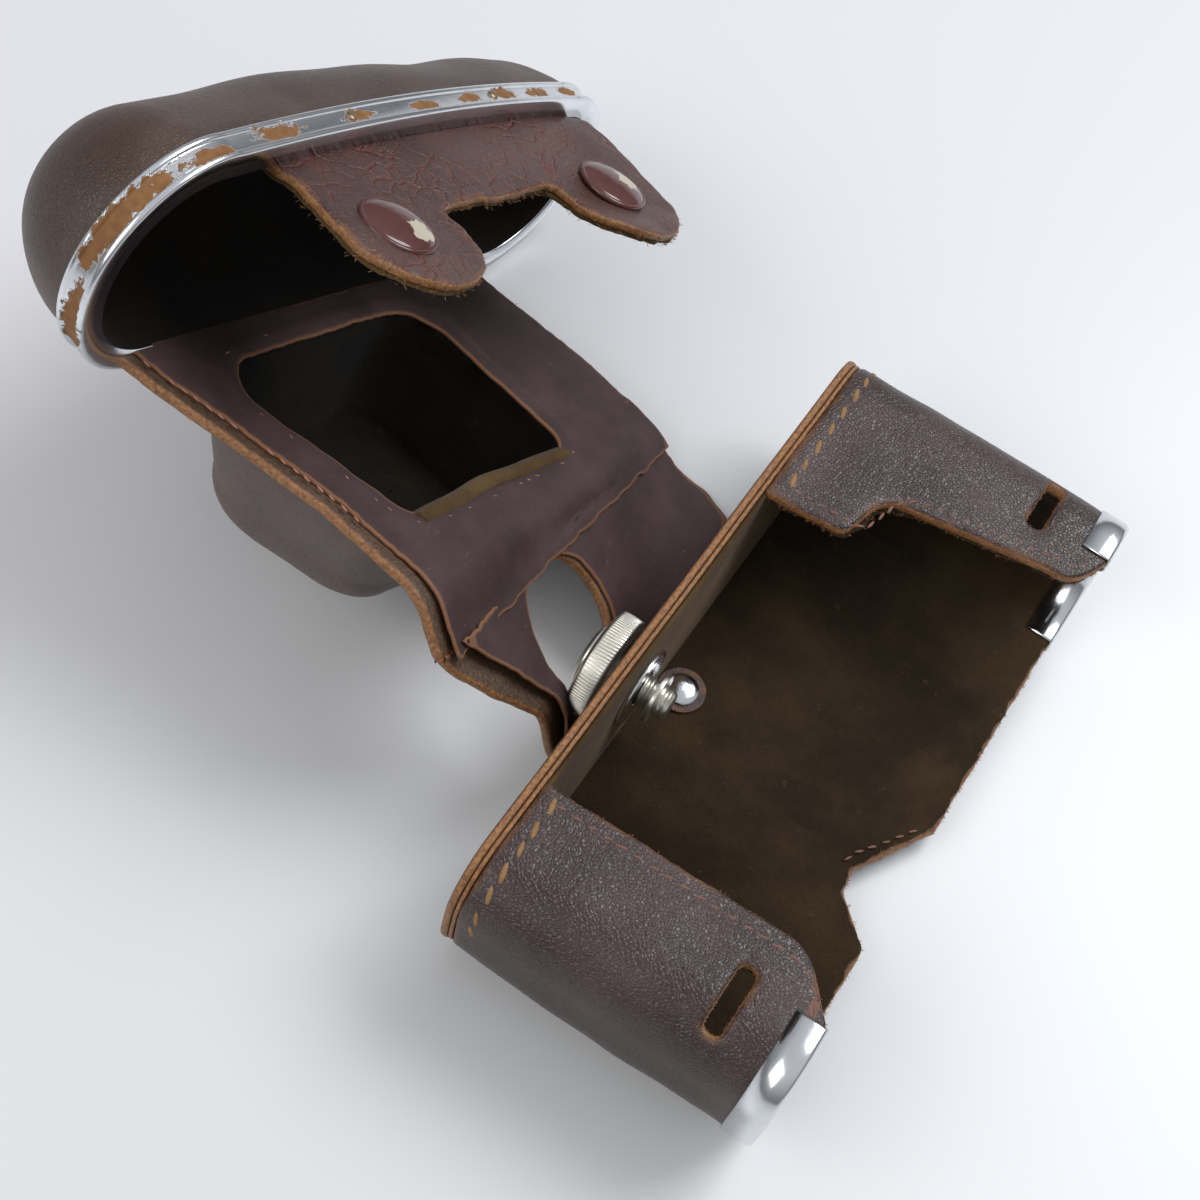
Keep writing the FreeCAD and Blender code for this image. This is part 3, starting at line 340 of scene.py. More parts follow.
FINE_THREAD = thread("fine_thread", (0.11, 0.045, 0.030), (0.26, 0.125, 0.085))
HEAVY_THREAD = thread("heavy_thread", (0.13, 0.058, 0.020), (0.40, 0.22, 0.085))
# Also gives the dots of painted shade in the empty awl holes.
DARK_THREAD_AND_HOLE_SHADE = thread("dark_thread_and_hole_shade", (0.008, 0.005, 0.004), (0.03, 0.018, 0.014))
PINK_THREAD = thread("pink_thread", (0.25, 0.085, 0.060), (0.50, 0.23, 0.17))
FIBRE = thread("edge_fibres", (0.14, 0.06, 0.022), (0.42, 0.21, 0.08))
CHROME = bright_metal("trim_chrome", (0.80, 0.82, 0.85), 0.07)
BAND_CHROME = bright_metal("band_chrome", (0.80, 0.82, 0.85), 0.09, 1.0)
NICKEL = bright_metal("knob_nickel", (0.74, 0.72, 0.64), 0.22)
BRASS = bright_metal("dark_brass", (0.30, 0.23, 0.15), 0.30)
LACQUER = lacquer("snap_lacquer")


# Mesh kit

def around(loop):
    """The loop's outward normals, for a loop that has its material on its left."""
    along = np.roll(loop, -1, 0) - np.roll(loop, 1, 0)
    along /= np.linalg.norm(along, axis=1)[:, None] + 1e-9
    return np.stack([along[:, 1], -along[:, 0]], 1)


def area(loop):
    after = np.roll(loop, -1, 0)
    return float(np.sum(loop[:, 0] * after[:, 1] - after[:, 0] * loop[:, 1]) / 2)


def resampled(loop, step):
    """A closed loop with points at even spacing."""
    closed = np.vstack([loop, loop[:1]])
    run = np.concatenate([[0], np.cumsum(np.linalg.norm(np.diff(closed, axis=0), axis=1))])
    count = max(8, int(round(run[-1] / step)))
    at = np.linspace(0, run[-1], count, endpoint=False)
    return np.stack([np.interp(at, run, closed[:, i]) for i in range(loop.shape[1])], 1)


def rounded(corners, step=0.9, arc=10, line=1):
    """A closed loop through corners (a, b, radius), evenly spaced, or with fixed counts if step is None."""
    points = []
    count = len(corners)
    for index, (a, b, radius) in enumerate(corners):
        corner = np.array([a, b])
        last = np.array(corners[index - 1][:2]) - corner
        following = np.array(corners[(index + 1) % count][:2]) - corner
        last = last / np.linalg.norm(last)
        following = following / np.linalg.norm(following)
        if radius <= 0:
            points += [corner] * (1 if step else arc + 1)
            continue
        half = math.acos(float(np.clip(last @ following, -1, 1))) / 2
        reach = radius / math.tan(half)
        middle = last + following
        middle = corner + middle / np.linalg.norm(middle) * (radius / math.sin(half))
        start = corner + last * reach - middle
        end = corner + following * reach - middle
        sweep = math.pi - 2 * half
        for share in np.linspace(0, 1, arc + 1):
            mix = start * math.sin((1 - share) * sweep) + end * math.sin(share * sweep)
            points.append(middle + mix / math.sin(sweep))
    points = np.array(points)
    if step:
        return resampled(points, step)
    filled = []
    for index in range(count):
        filled += list(points[index * (arc + 1):(index + 1) * (arc + 1)])
        start = points[(index + 1) * (arc + 1) - 1]
        end = points[((index + 1) * (arc + 1)) % len(points)]
        filled += [start + (end - start) * share for share in np.linspace(0, 1, line + 2)[1:-1]]
    return np.array(filled)


def disc(a, b, radius, count=None):
    turns = np.linspace(0, 2 * math.pi, count or max(24, int(radius * 7)), endpoint=False)
    return np.stack([a + radius * np.cos(turns), b + radius * np.sin(turns)], 1)


def frayed(loop, amount, size, seed):
    """The loop with a slightly ragged line."""
    flat = np.column_stack([loop, np.zeros(len(loop))])
    push = ripple(flat, size, seed) * amount + ripple(flat, size * 0.27, seed + 1) * amount * 0.5
    return loop + around(loop) * push[:, None]


def inside(points, loop):
    """Which points lie inside a closed loop."""
    x, y = points[:, :1], points[:, 1:]
    ax, ay = loop[:, 0], loop[:, 1]
    bx, by = np.roll(ax, -1), np.roll(ay, -1)
    span = np.where(by == ay, 1e-12, by - ay)
    crosses = ((ay > y) != (by > y)) & (x < (bx - ax) * (y - ay) / span + ax)
    return crosses.sum(1) % 2 == 1


def gap(points, rim):
    """Distance of each point from the nearest rim point."""
    found = [np.sqrt(((part[:, None] - rim[None]) ** 2).sum(2)).min(1) for part in np.array_split(points, 12)]
    return np.concatenate(found)


def filled(loops, step):
    """Points and triangles inside the first loop and outside the others; the loops' points come first."""
    rim = np.vstack(loops)
    low, high = rim.min(0), rim.max(0)
    rows = np.arange(low[1], high[1], step * 0.866)
    grid = [np.array([[x + (index % 2) * step / 2, y] for x in np.arange(low[0], high[0], step)])
            for index, y in enumerate(rows)]
    grid = np.vstack(grid)
    keep = inside(grid, loops[0])
    for hole in loops[1:]:
        keep &= ~inside(grid, hole)
    grid = grid[keep]
    grid = grid[gap(grid, rim) > 0.6 * step]
    points = np.vstack([rim, grid])
    edges, start = [], 0
    for loop in loops:
        edges += [(start + i, start + (i + 1) % len(loop)) for i in range(len(loop))]
        start += len(loop)
    made = geometry.delaunay_2d_cdt([Vector(p) for p in points], edges, [], 0, 1e-7)
    origin = [o[0] if o else -1 for o in made[3]]
    faces = np.array([[origin[i] for i in f] for f in made[2] if all(origin[i] >= 0 for i in f)])
    middle = points[faces].mean(1)
    keep = inside(middle, loops[0])
    for hole in loops[1:]:
        keep &= ~inside(middle, hole)
    return points, faces[keep]


def mesh_piece(name, points, faces, body, paint, marks=None, wrap=None, flat=False):
    """A finished piece: points in millimetres of the opened case's frame, faces turned outwards."""
    points = np.asarray(points, float)
    total = 0.0
    for face in faces:
        a = points[face[0]]
        for i in range(1, len(face) - 1):
            total += a @ np.cross(points[face[i]], points[face[i + 1]])
    if total < 0:
        faces = [tuple(reversed(face)) for face in faces]
    mesh = bpy.data.meshes.new(name)
    mesh.from_pydata((points * MM).tolist(), [], [tuple(int(i) for i in face) for face in faces])
    mesh.polygons.foreach_set("use_smooth", [not flat] * len(mesh.polygons))
    for key, values in (marks or {}).items():
        mesh.attributes.new(key, "FLOAT", "POINT").data.foreach_set("value", np.asarray(values, np.float32))
    if wrap is not None:
        layer = mesh.uv_layers.new(name="spread")
        index = np.zeros(len(mesh.loops), np.int32)
        mesh.loops.foreach_get("vertex_index", index)
        layer.data.foreach_set("uv", (np.asarray(wrap)[index] * MM).astype(np.float32).ravel())
    mesh.materials.append(paint)
    mesh.validate()
    piece = bpy.data.objects.new(name, mesh)
    bpy.context.scene.collection.objects.link(piece)
    if body:
        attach(piece, body)
    return piece


def sheet(name, loops, place, low, high, body, paint, step=1.5, sides=4):
    """A sheet of leather: its outline and holes in its own plane, its thickness from low to high.
    place carries (u, v, w) to the opened case. The grain side is at high."""
    thick = high - low
    roll = min(thick * 0.5, 0.9)
    loops = [loop if (area(loop) > 0) == (index == 0) else loop[::-1] for index, loop in enumerate(loops)]
    normals = [around(loop) for loop in loops]
    flat, faces = filled([loop - normal * roll for loop, normal in zip(loops, normals)], step)
    count = len(flat)
    rim = sum(len(loop) for loop in loops)
    every, outward = np.vstack(loops), np.vstack(normals)
    rows = [np.column_stack([flat, np.full(count, high)]), np.column_stack([flat, np.full(count, low)])]
    for j in range(1, sides + 1):
        turn = math.pi * j / (sides + 1)
        push = roll * (math.sin(turn) ** 0.7 - 1)
        level = (high + low) / 2 + thick / 2 * math.copysign(abs(math.cos(turn)) ** 0.8, math.cos(turn))
        rows.append(np.column_stack([every + outward * push, np.full(rim, level)]))
    uvw = np.vstack(rows)
    out = [tuple(f) for f in faces] + [tuple(f[::-1] + count) for f in faces]
    start = 0
    for loop in loops:
        size = len(loop)
        chain = [0] + [2 * count + rim * j for j in range(sides)] + [count]
        for above, below in zip(chain, chain[1:]):
            for i in range(size):
                k = (i + 1) % size
                out.append((above + start + i, below + start + i, below + start + k, above + start + k))
        start += size
    near = gap(flat, every)
    marks = {"rim": np.concatenate([near, near, np.zeros(rim * sides)]),
             "depth": (high - uvw[:, 2]) / thick}
    return mesh_piece(name, place(uvw), out, body, paint, marks, uvw[:, :2])


def shell(name, rings, body, paint, marks=None):
    """A closed skin through rings of equal count, capped at both ends."""
    count = len(rings[0])
    points = np.vstack(rings)
    faces = []
    for row in range(len(rings) - 1):
        a, b = row * count, (row + 1) * count
        for i in range(count):
            k = (i + 1) % count
            faces.append((a + i, a + k, b + k, b + i))
    last = (len(rings) - 1) * count
    for start, ring in ((0, rings[0]), (last, rings[-1])):
        middle = len(points)
        points = np.vstack([points, ring.mean(0)[None]])
        for i in range(count):
            k = (i + 1) % count
            tip = (middle, start + k, start + i)
            faces.append(tip if start == 0 else tip[::-1])
    if marks:
        marks = {key: np.concatenate([value, [value[0], value[-1]]]) for key, value in marks.items()}
    return mesh_piece(name, points, faces, body, paint, marks)


def swept(name, path, outward, upward, profile, body, paint, marks=None):
    """A closed profile (outward, upward) carried along an open path, with capped ends."""
    rows = [p + profile[:, :1] * o + profile[:, 1:] * u for p, o, u in zip(path, outward, upward)]
    size = len(profile)
    points = np.vstack(rows)
    faces = []
    for row in range(len(rows) - 1):
        a, b = row * size, (row + 1) * size
        for i in range(size):
            k = (i + 1) % size
            faces.append((a + i, a + k, b + k, b + i))
    faces.append(tuple(range(size - 1, -1, -1)))
    faces.append(tuple((len(rows) - 1) * size + i for i in range(size)))
    return mesh_piece(name, points, faces, body, paint, marks)


def lathe(name, place, profile, body, paint, count=64, shape=None, mark=None):
    """A turned piece; profile is (radius, height) from one end of its axis to the other."""
    turns = np.linspace(0, 2 * math.pi, count, endpoint=False)
    rings = []
    for radius, height in profile:
        radius = max(radius, 0.01)
        ring = np.stack([radius * np.cos(turns), radius * np.sin(turns), np.full(count, height)], 1)
        rings.append(ring if shape is None else shape(ring))
    marks = None
    if mark is not None:
        marks = {key: rule(np.vstack(rings)) for key, rule in mark.items()}
    return shell(name, [moved(place, ring) for ring in rings], body, paint, marks)


def arc_profile(points, soft=0.18, steps=3):
    """A profile with its corners eased."""
    out = [points[0]]
    for before, corner, after in zip(points, points[1:], points[2:]):
        b, c, a = (np.array(p, float) for p in (before, corner, after))
        lb, la = np.linalg.norm(b - c), np.linalg.norm(a - c)
        reach = min(soft, lb * 0.45, la * 0.45)
        start, end = c + (b - c) / lb * reach, c + (a - c) / la * reach
        for share in np.linspace(0, 1, steps + 1):
            out.append(tuple((1 - share) ** 2 * start + 2 * share * (1 - share) * c + share ** 2 * end))
    return out + [points[-1]]


# Repeated small pieces: stitches, knurls and fibres are set out by one node tree

def repeat_tree():
    """Instances of a rounded bar on a mesh's points, laid along its "along" and "out" directions."""
    tree = bpy.data.node_groups.new("rounded_bars", "GeometryNodeTree")
    for label, kind in (("Points", "NodeSocketGeometry"), ("Length", "NodeSocketFloat"),
                        ("Width", "NodeSocketFloat"), ("Height", "NodeSocketFloat"),
                        ("Sides", "NodeSocketInt"), ("Rows", "NodeSocketInt"), ("Finish", "NodeSocketMaterial")):
        tree.interface.new_socket(label, in_out="INPUT", socket_type=kind)
    tree.interface.new_socket("Bars", in_out="OUTPUT", socket_type="NodeSocketGeometry")
    nodes, link = tree.nodes, tree.links.new
    given = nodes.new("NodeGroupInput")
    bar = nodes.new("GeometryNodeMeshUVSphere")
    bar.inputs["Radius"].default_value = 0.5
    link(given.outputs["Sides"], bar.inputs["Segments"])
    link(given.outputs["Rows"], bar.inputs["Rings"])

    def attribute(label, kind):
        node = nodes.new("GeometryNodeInputNamedAttribute")
        node.data_type = kind
        node.inputs["Name"].default_value = label
        return node.outputs["Attribute"]

    lay = nodes.new("FunctionNodeAlignRotationToVector")
    lay.axis = "X"
    link(attribute("along", "FLOAT_VECTOR"), lay.inputs["Vector"])
    tilt = nodes.new("FunctionNodeAlignRotationToVector")
    tilt.axis = "Z"
    tilt.pivot_axis = "X"
    link(lay.outputs[0], tilt.inputs["Rotation"])
    link(attribute("out", "FLOAT_VECTOR"), tilt.inputs["Vector"])
    box = nodes.new("ShaderNodeCombineXYZ")
    for index, label in enumerate(("Length", "Width", "Height")):
        link(given.outputs[label], box.inputs[index])
    sized = nodes.new("ShaderNodeVectorMath")
    sized.operation = "SCALE"
    link(box.outputs[0], sized.inputs[0])
    link(attribute("size", "FLOAT"), sized.inputs["Scale"])
    put = nodes.new("GeometryNodeInstanceOnPoints")
    link(given.outputs["Points"], put.inputs["Points"])
    link(bar.outputs["Mesh"], put.inputs["Instance"])
    link(tilt.outputs[0], put.inputs["Rotation"])
    link(sized.outputs[0], put.inputs["Scale"])
    real = nodes.new("GeometryNodeRealizeInstances")
    soft = nodes.new("GeometryNodeSetShadeSmooth")
    finish = nodes.new("GeometryNodeSetMaterial")
    out = nodes.new("NodeGroupOutput")
    link(put.outputs[0], real.inputs[0])
    link(real.outputs[0], soft.inputs[0])
    link(soft.outputs[0], finish.inputs[0])
    link(given.outputs["Finish"], finish.inputs["Material"])
    link(finish.outputs[0], out.inputs[0])
    return tree


BARS = repeat_tree()


def bars(name, points, along, out, length, width, height, body, paint, size=None, sides=8, rows=6):
    """Rounded bars at points, as one plain mesh that rides on a body."""
    mesh = bpy.data.meshes.new(name + "_points")
    mesh.from_pydata((np.asarray(points) * MM).tolist(), [], [])
    for label, values in (("along", along), ("out", out)):
        data = mesh.attributes.new(label, "FLOAT_VECTOR", "POINT").data
        data.foreach_set("vector", np.asarray(values, np.float32).ravel())
    sizes = np.ones(len(points)) if size is None else size
    mesh.attributes.new("size", "FLOAT", "POINT").data.foreach_set("value", np.asarray(sizes, np.float32))
    holder = bpy.data.objects.new(name + "_holder", mesh)
    bpy.context.scene.collection.objects.link(holder)
    given = {"Length": length * MM, "Width": width * MM, "Height": height * MM, "Sides": sides, "Rows": rows,
             "Finish": paint}
    modifier = holder.modifiers.new("bars", "NODES")
    modifier.node_group = BARS
    for item in BARS.interface.items_tree:
        if item.in_out == "INPUT" and item.name in given:
            modifier[item.identifier] = given[item.name]
    bpy.context.view_layer.update()
    graph = bpy.context.evaluated_depsgraph_get()
    plain = bpy.data.meshes.new_from_object(holder.evaluated_get(graph))
    bpy.data.objects.remove(holder)
    piece = bpy.data.objects.new(name, plain)
    bpy.context.scene.collection.objects.link(piece)
    if body:
        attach(piece, body)
    return piece


def seam(name, line, place, level, pitch, stitch, width, body, paint, sink=0.35, slant=0.0, seed=1, gaps=0.0):
    """A row of stitches along a line (u, v) on a surface, at a level w above it."""
    run = np.concatenate([[0], np.cumsum(np.linalg.norm(np.diff(line, axis=0), axis=1))])
    count = int(run[-1] / pitch)
    at = (np.arange(count) + 0.5) * run[-1] / count
    draw = np.random.RandomState(seed)
    at = at + draw.uniform(-0.08, 0.08, count) * pitch
    at = at[draw.uniform(size=count) >= gaps]

    def on(distance, lift):
        uv = np.stack([np.interp(distance, run, line[:, i]) for i in (0, 1)], 1)
        return place(np.column_stack([uv, np.full(len(uv), lift)]))

    here = on(at, level - sink * width)
    along = on(at + 0.4, level) - on(at - 0.4, level)
    along /= np.linalg.norm(along, axis=1)[:, None]
    out = on(at, level + 0.5) - on(at, level)
    out /= np.linalg.norm(out, axis=1)[:, None]
    if slant:
        along = along + np.cross(out, along) * slant
        along /= np.linalg.norm(along, axis=1)[:, None]
    size = draw.uniform(0.9, 1.08, len(at))
    return bars(name, here, along, out, stitch, width, width * 0.8, body, paint, size)


def fringe(name, loop, place, low, high, body, per_mm, length, seed, paint=None):
    """Short fibres standing out of a raw leather edge."""
    draw = np.random.RandomState(seed)
    closed = np.vstack([loop, loop[:1]])
    run = np.concatenate([[0], np.cumsum(np.linalg.norm(np.diff(closed, axis=0), axis=1))])
    count = int(run[-1] * per_mm)
    at = draw.uniform(0, run[-1], count)
    uv = np.stack([np.interp(at, run, closed[:, i]) for i in (0, 1)], 1)
    ahead = np.stack([np.interp((at + 0.3) % run[-1], run, closed[:, i]) for i in (0, 1)], 1)
    along = ahead - uv
    along /= np.linalg.norm(along, axis=1)[:, None] + 1e-9
    outward = np.stack([along[:, 1], -along[:, 0]], 1) * (1 if area(loop) > 0 else -1)
    level = draw.uniform(low, high, count)
    near = place(np.column_stack([uv - outward * 0.15, level]))
    lean = draw.normal(size=(count, 1)) * 0.7
    tip = uv + outward * 0.5 + along * lean * 0.5
    far = place(np.column_stack([tip, level + draw.normal(size=count) * 0.35]))
    way = far - near
    way /= np.linalg.norm(way, axis=1)[:, None]
    side = np.cross(way, np.array([0.3, 0.5, 0.8]))
    size = draw.uniform(0.4, 1.3, count)
    return bars(name, near + way * length * 0.3, way, side, length, 0.10, 0.10, body, paint or FIBRE, size, 4, 3)


# Body half

LENGTH, HEIGHT, DEPTH, LEATHER, SUEDE_SHEET = 141.0, 62.0, 33.0, 2.4, 0.8
WALL = LEATHER + SUEDE_SHEET
BACK_ROUND, FRONT_ROUND = 15.0, 11.0
SCREW_X, SCREW_Z = 12.6, 17.5
CORNER_1 = LENGTH / 2 - BACK_ROUND
CORNER_2 = CORNER_1 + math.pi / 2 * BACK_ROUND
CORNER_3 = CORNER_2 + DEPTH - BACK_ROUND - FRONT_ROUND
CORNER_4 = CORNER_3 + math.pi / 2 * FRONT_ROUND
FRONT_RUN = CORNER_4 + LENGTH / 2 - FRONT_ROUND


def plan_point(run):
    """Where a run round the case's plan, counted from the middle of the back, lies: (x, z) and its
    outward normal."""
    side = np.sign(run) + (run == 0)
    s = np.abs(run)
    end = LENGTH / 2
    back_turn = np.clip((s - CORNER_1) / BACK_ROUND, 0, math.pi / 2)
    front_turn = np.clip((s - CORNER_3) / FRONT_ROUND, 0, math.pi / 2)
    x = np.where(s < CORNER_1, s, end - BACK_ROUND + BACK_ROUND * np.sin(back_turn))
    z = np.where(s < CORNER_1, 0.0, BACK_ROUND - BACK_ROUND * np.cos(back_turn))
    z = np.where(s > CORNER_2, BACK_ROUND + np.minimum(s, CORNER_3) - CORNER_2, z)
    x = np.where(s > CORNER_3, end - FRONT_ROUND + FRONT_ROUND * np.cos(front_turn), x)
    z = np.where(s > CORNER_3, DEPTH - FRONT_ROUND + FRONT_ROUND * np.sin(front_turn), z)
    x = np.where(s > CORNER_4, end - FRONT_ROUND - (s - CORNER_4), x)
    turn = back_turn + front_turn
    return np.stack([x * side, z], 1), np.stack([np.sin(turn) * side, -np.cos(turn)], 1)


def round_case(uvw):
    """(run round the case, height, depth outwards) to the opened case; 0 is the outer face."""
    at, normal = plan_point(uvw[:, 0])
    out = uvw[:, 2]
    x = at[:, 0] + normal[:, 0] * out
    z = at[:, 1] + normal[:, 1] * out
    points = np.stack([x, uvw[:, 1], z], 1)
    bulge = ripple(points, 46.0, 3) * 0.35 + ripple(points, 15.0, 4) * 0.10
    bulge = bulge * smooth(0.0, 9.0, uvw[:, 1]) * (1 - smooth(HEIGHT - 9.0, HEIGHT - 2.0, uvw[:, 1]))
    points[:, 0] += normal[:, 0] * bulge
    points[:, 2] += normal[:, 1] * bulge
    return moved(HOME, points)


def front(x):
    """The run at which the case's front face has this x."""
    return math.copysign(FRONT_RUN - abs(x), x)


def wrap_outline(setback, low):
    """The body leather laid flat: pocket edges at both ends, the eyepiece cut-out in the top edge."""
    top = HEIGHT - (0.0 if setback == 0 else 0.6)
    corners = [
        (front(-28.0 - setback), low, 0.6),
        (front(45.8 + setback), low, 0.6),
        (front(44.4 + setback), 53.0, 10.0),
        (front(54.6 + setback), top, 2.5),
        (24.6 + setback, top, 1.6),
        (16.8 + setback, 53.6 - setback, 2.5),
        (12.0 - setback, 53.0 - setback, 4.0),
        (-4.4 - setback, top, 1.6),
        (front(-54.5 - setback), top, 3.0),
        (front(-47.5 - setback), 59.0, 5.0),
        (front(-41.0 - setback), 21.5 + setback, 6.0),
        (front(-29.5 - setback), 19.0 + setback, 2.6),
    ]
    return rounded(corners)


def slot_outline(side, grow=0.0):
    """The lug slot across one pocket's front corner."""
    middle = side * (CORNER_4 - 0.5)
    return rounded([
        (middle - 6.8 - grow, 45.3 - grow, 1.5 + grow), (middle + 6.8 + grow, 45.3 - grow, 1.5 + grow),
        (middle + 6.8 + grow, 48.7 + grow, 1.5 + grow), (middle - 6.8 - grow, 48.7 + grow, 1.5 + grow),
    ], 0.6)


def make_body_half():
    outline = frayed(wrap_outline(0.0, 2.45), 0.10, 7.0, 11)
    slots = [slot_outline(1), slot_outline(-1)]
    wrap = sheet("case_wrap", [outline] + slots, round_case, -LEATHER, 0.0, "body_half", CASE_LEATHER)
    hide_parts("body_wrap")
    ragged = frayed(wrap_outline(0.5, 3.0), 0.35, 6.0, 12)
    inner_slots = [slot_outline(1, 0.25), slot_outline(-1, 0.25)]
    lining = sheet("case_suede", [ragged] + inner_slots, round_case, -WALL, -LEATHER - 0.02, "body_half", SUEDE)
    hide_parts("body_lining")
    fringe("case_edge_fibres", outline, round_case, -LEATHER * 0.95, -LEATHER * 0.35, "body_half", 2.2, 0.8, 21)
    fringe("suede_edge_fibres", ragged, round_case, -WALL, -LEATHER, "body_half", 2.5, 0.9, 22)
    for index, loop in enumerate(slots):
        fringe("slot_fibres_%d" % (index + 1), loop[::-1], round_case, -LEATHER, -0.3, "body_half", 3.0, 0.7,
               23 + index)

    def plan_loop(inset):
        end, out = LENGTH / 2 - inset, DEPTH - inset
        return rounded([(-end, inset, BACK_ROUND - inset), (end, inset, BACK_ROUND - inset),
                        (end, out, FRONT_ROUND - inset), (-end, out, FRONT_ROUND - inset)], 1.0)

    def on_floor(uvw):
        points = np.stack([uvw[:, 0], -uvw[:, 2], uvw[:, 1]], 1)
        points[:, 2] += ripple(points * np.array([1, 0, 0]), 60.0, 6) * 0.35 * smooth(20.0, 33.0, uvw[:, 1])
        return moved(HOME, points)

    hole = disc(SCREW_X, SCREW_Z, 3.5)
    floor_piece = sheet("bottom_leather", [plan_loop(0.0), hole], on_floor, -1.5, 0.0, "body_half", CASE_LEATHER)
    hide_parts("bottom_wall")
    sheet("bottom_inner_leather", [plan_loop(0.25), hole], on_floor, -2.4, -1.52, "body_half", FLAP_LEATHER)
    suede = sheet("bottom_suede", [plan_loop(1.1), hole], on_floor, -WALL, -2.42, "body_half", OCHRE)
    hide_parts("bottom_lining")

    # Pocket edges: fine stitches beside the cut, heavy ones along the bottom seam
    left = rounded([(front(54.0), 61.0, 0), (front(47.6), 53.5, 9.0), (front(48.4), 5.0, 0),
                    (front(90.0), 5.0, 0)], 0.5)
    left = left[(left[:, 0] > front(56.0)) & (left[:, 1] > 5.2) & (left[:, 1] < 59.5)]
    left = left[np.argsort(left[:, 1])]
    seam("left_pocket_stitches", left, round_case, 0.0, 2.9, 2.6, 0.62, "body_half", FINE_THREAD, 0.25, 0.22, 31)
    right = rounded([(front(-31.5), 5.0, 0), (front(-32.4), 21.6, 2.6), (front(-43.6), 24.4, 6.0),
                     (front(-50.3), 58.0, 5.0), (front(-54.0), 60.0, 0), (front(-90.0), 60.0, 0),
                     (front(-90.0), 5.0, 0)], 0.5)
    keep = (np.abs(right[:, 0]) > abs(front(-55.0))) & (right[:, 1] > 5.5) & (right[:, 1] < 59.4)
    right = right[keep]
    right = right[np.argsort(right[:, 1] - np.abs(right[:, 0]) * 0.4)]
    seam("right_pocket_stitches", right, round_case, 0.0, 2.6, 2.3, 0.62, "body_half", FINE_THREAD, 0.25, 0.22, 32)
    for side, start in ((1, 47.0), (-1, 30.5)):
        line = np.array([[front(side * x), 5.6] for x in np.linspace(start, 80.0, 60)])
        seam("bottom_stitches_%s" % ("left" if side > 0 else "right"), line, round_case, 0.0, 4.6, 3.9, 1.15,
             "body_half", HEAVY_THREAD, 0.2, 0.25, 33 + side)
    # Dark dots on the surface along the empty awl holes: painted shade inside the holes.
    holes = np.array([[front(58.0 + 0.16 * i), 25.0 + i] for i in np.linspace(0, 16, 30)])
    seam("awl_holes", holes, round_case, 0.05, 2.0, 0.7, 0.7, "body_half", DARK_THREAD_AND_HOLE_SHADE, 0.35, 0.0, 36)
    window = np.array([[12.8, 50.6], [9.5, 51.6], [4.0, 55.4], [-2.0, 59.2]])
    seam("window_stitches", window, round_case, -WALL, 2.6, 1.8, 0.5, "body_half", FINE_THREAD, 0.9, 0.2, 37)

    make_rim_trims()
    make_small_hardware()


def make_rim_trims():
    """Bright channels over both pocket tops."""
    sheet_metal = 0.5
    inner, outer = -WALL - sheet_metal, sheet_metal
    profile = [(outer, HEIGHT - 5.5), (outer, HEIGHT - 0.2), (outer - 0.35, HEIGHT + 0.35), (outer - 0.9, HEIGHT + 0.5),
               (inner + 0.9, HEIGHT + 0.5), (inner + 0.35, HEIGHT + 0.35), (inner, HEIGHT - 0.2),
               (inner, HEIGHT - 5.5), (inner + 0.45, HEIGHT - 5.5), (inner + 0.45, HEIGHT - 0.05),
               (outer - 0.45, HEIGHT - 0.05), (outer - 0.45, HEIGHT - 5.5)]
    profile = np.array([(a, b) for a, b in profile])
    for side, label in ((1, "left"), (-1, "right")):
        runs = np.linspace(54.5, abs(front(55.2)), 90) * side
        at, normal = plan_point(runs)
        path = np.stack([at[:, 0], np.zeros(len(at)), at[:, 1]], 1)
        out = np.stack([normal[:, 0], np.zeros(len(at)), normal[:, 1]], 1)
        up = np.tile(np.array([0.0, 1.0, 0.0]), (len(at), 1))
        trim = swept("rim_trim_" + label, moved(HOME, path), out, up, profile, "body_half", CHROME)
        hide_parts(label + "_rim_trim")


def axis_up(x, z, level):
    """A turned piece's own Z along the case's Y."""
    return HOME @ np.array(Matrix.Translation((x, level, z)) @ Matrix.Rotation(-math.pi / 2, 4, "X"))


def axis_out(base, x, y, level):
    """A turned piece's own Z out of the back."""
    return base @ np.array(Matrix.Translation((x, y, level)) @ Matrix.Rotation(math.pi, 4, "X"))


def washer(name, place, outer, inner, low, high, body, paint, *nodes):
    profile = arc_profile([(inner, low), (inner, high), (outer, high), (outer, low), (inner, low)], 0.15)
    turns = 72
    rings = []
    for radius, height in profile[1:-1]:
        angle = np.linspace(0, 2 * math.pi, turns, endpoint=False)
        rings.append(np.stack([radius * np.cos(angle), radius * np.sin(angle), np.full(turns, height)], 1))
    points = moved(place, np.vstack(rings))
    faces = []
    for row in range(len(rings)):
        a, b = row * turns, (row + 1) % len(rings) * turns
        for i in range(turns):
            k = (i + 1) % turns
            faces.append((a + i, a + k, b + k, b + i))
    piece = mesh_piece(name, points, faces, body, paint)
    if nodes:
        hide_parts(*nodes)
    return piece


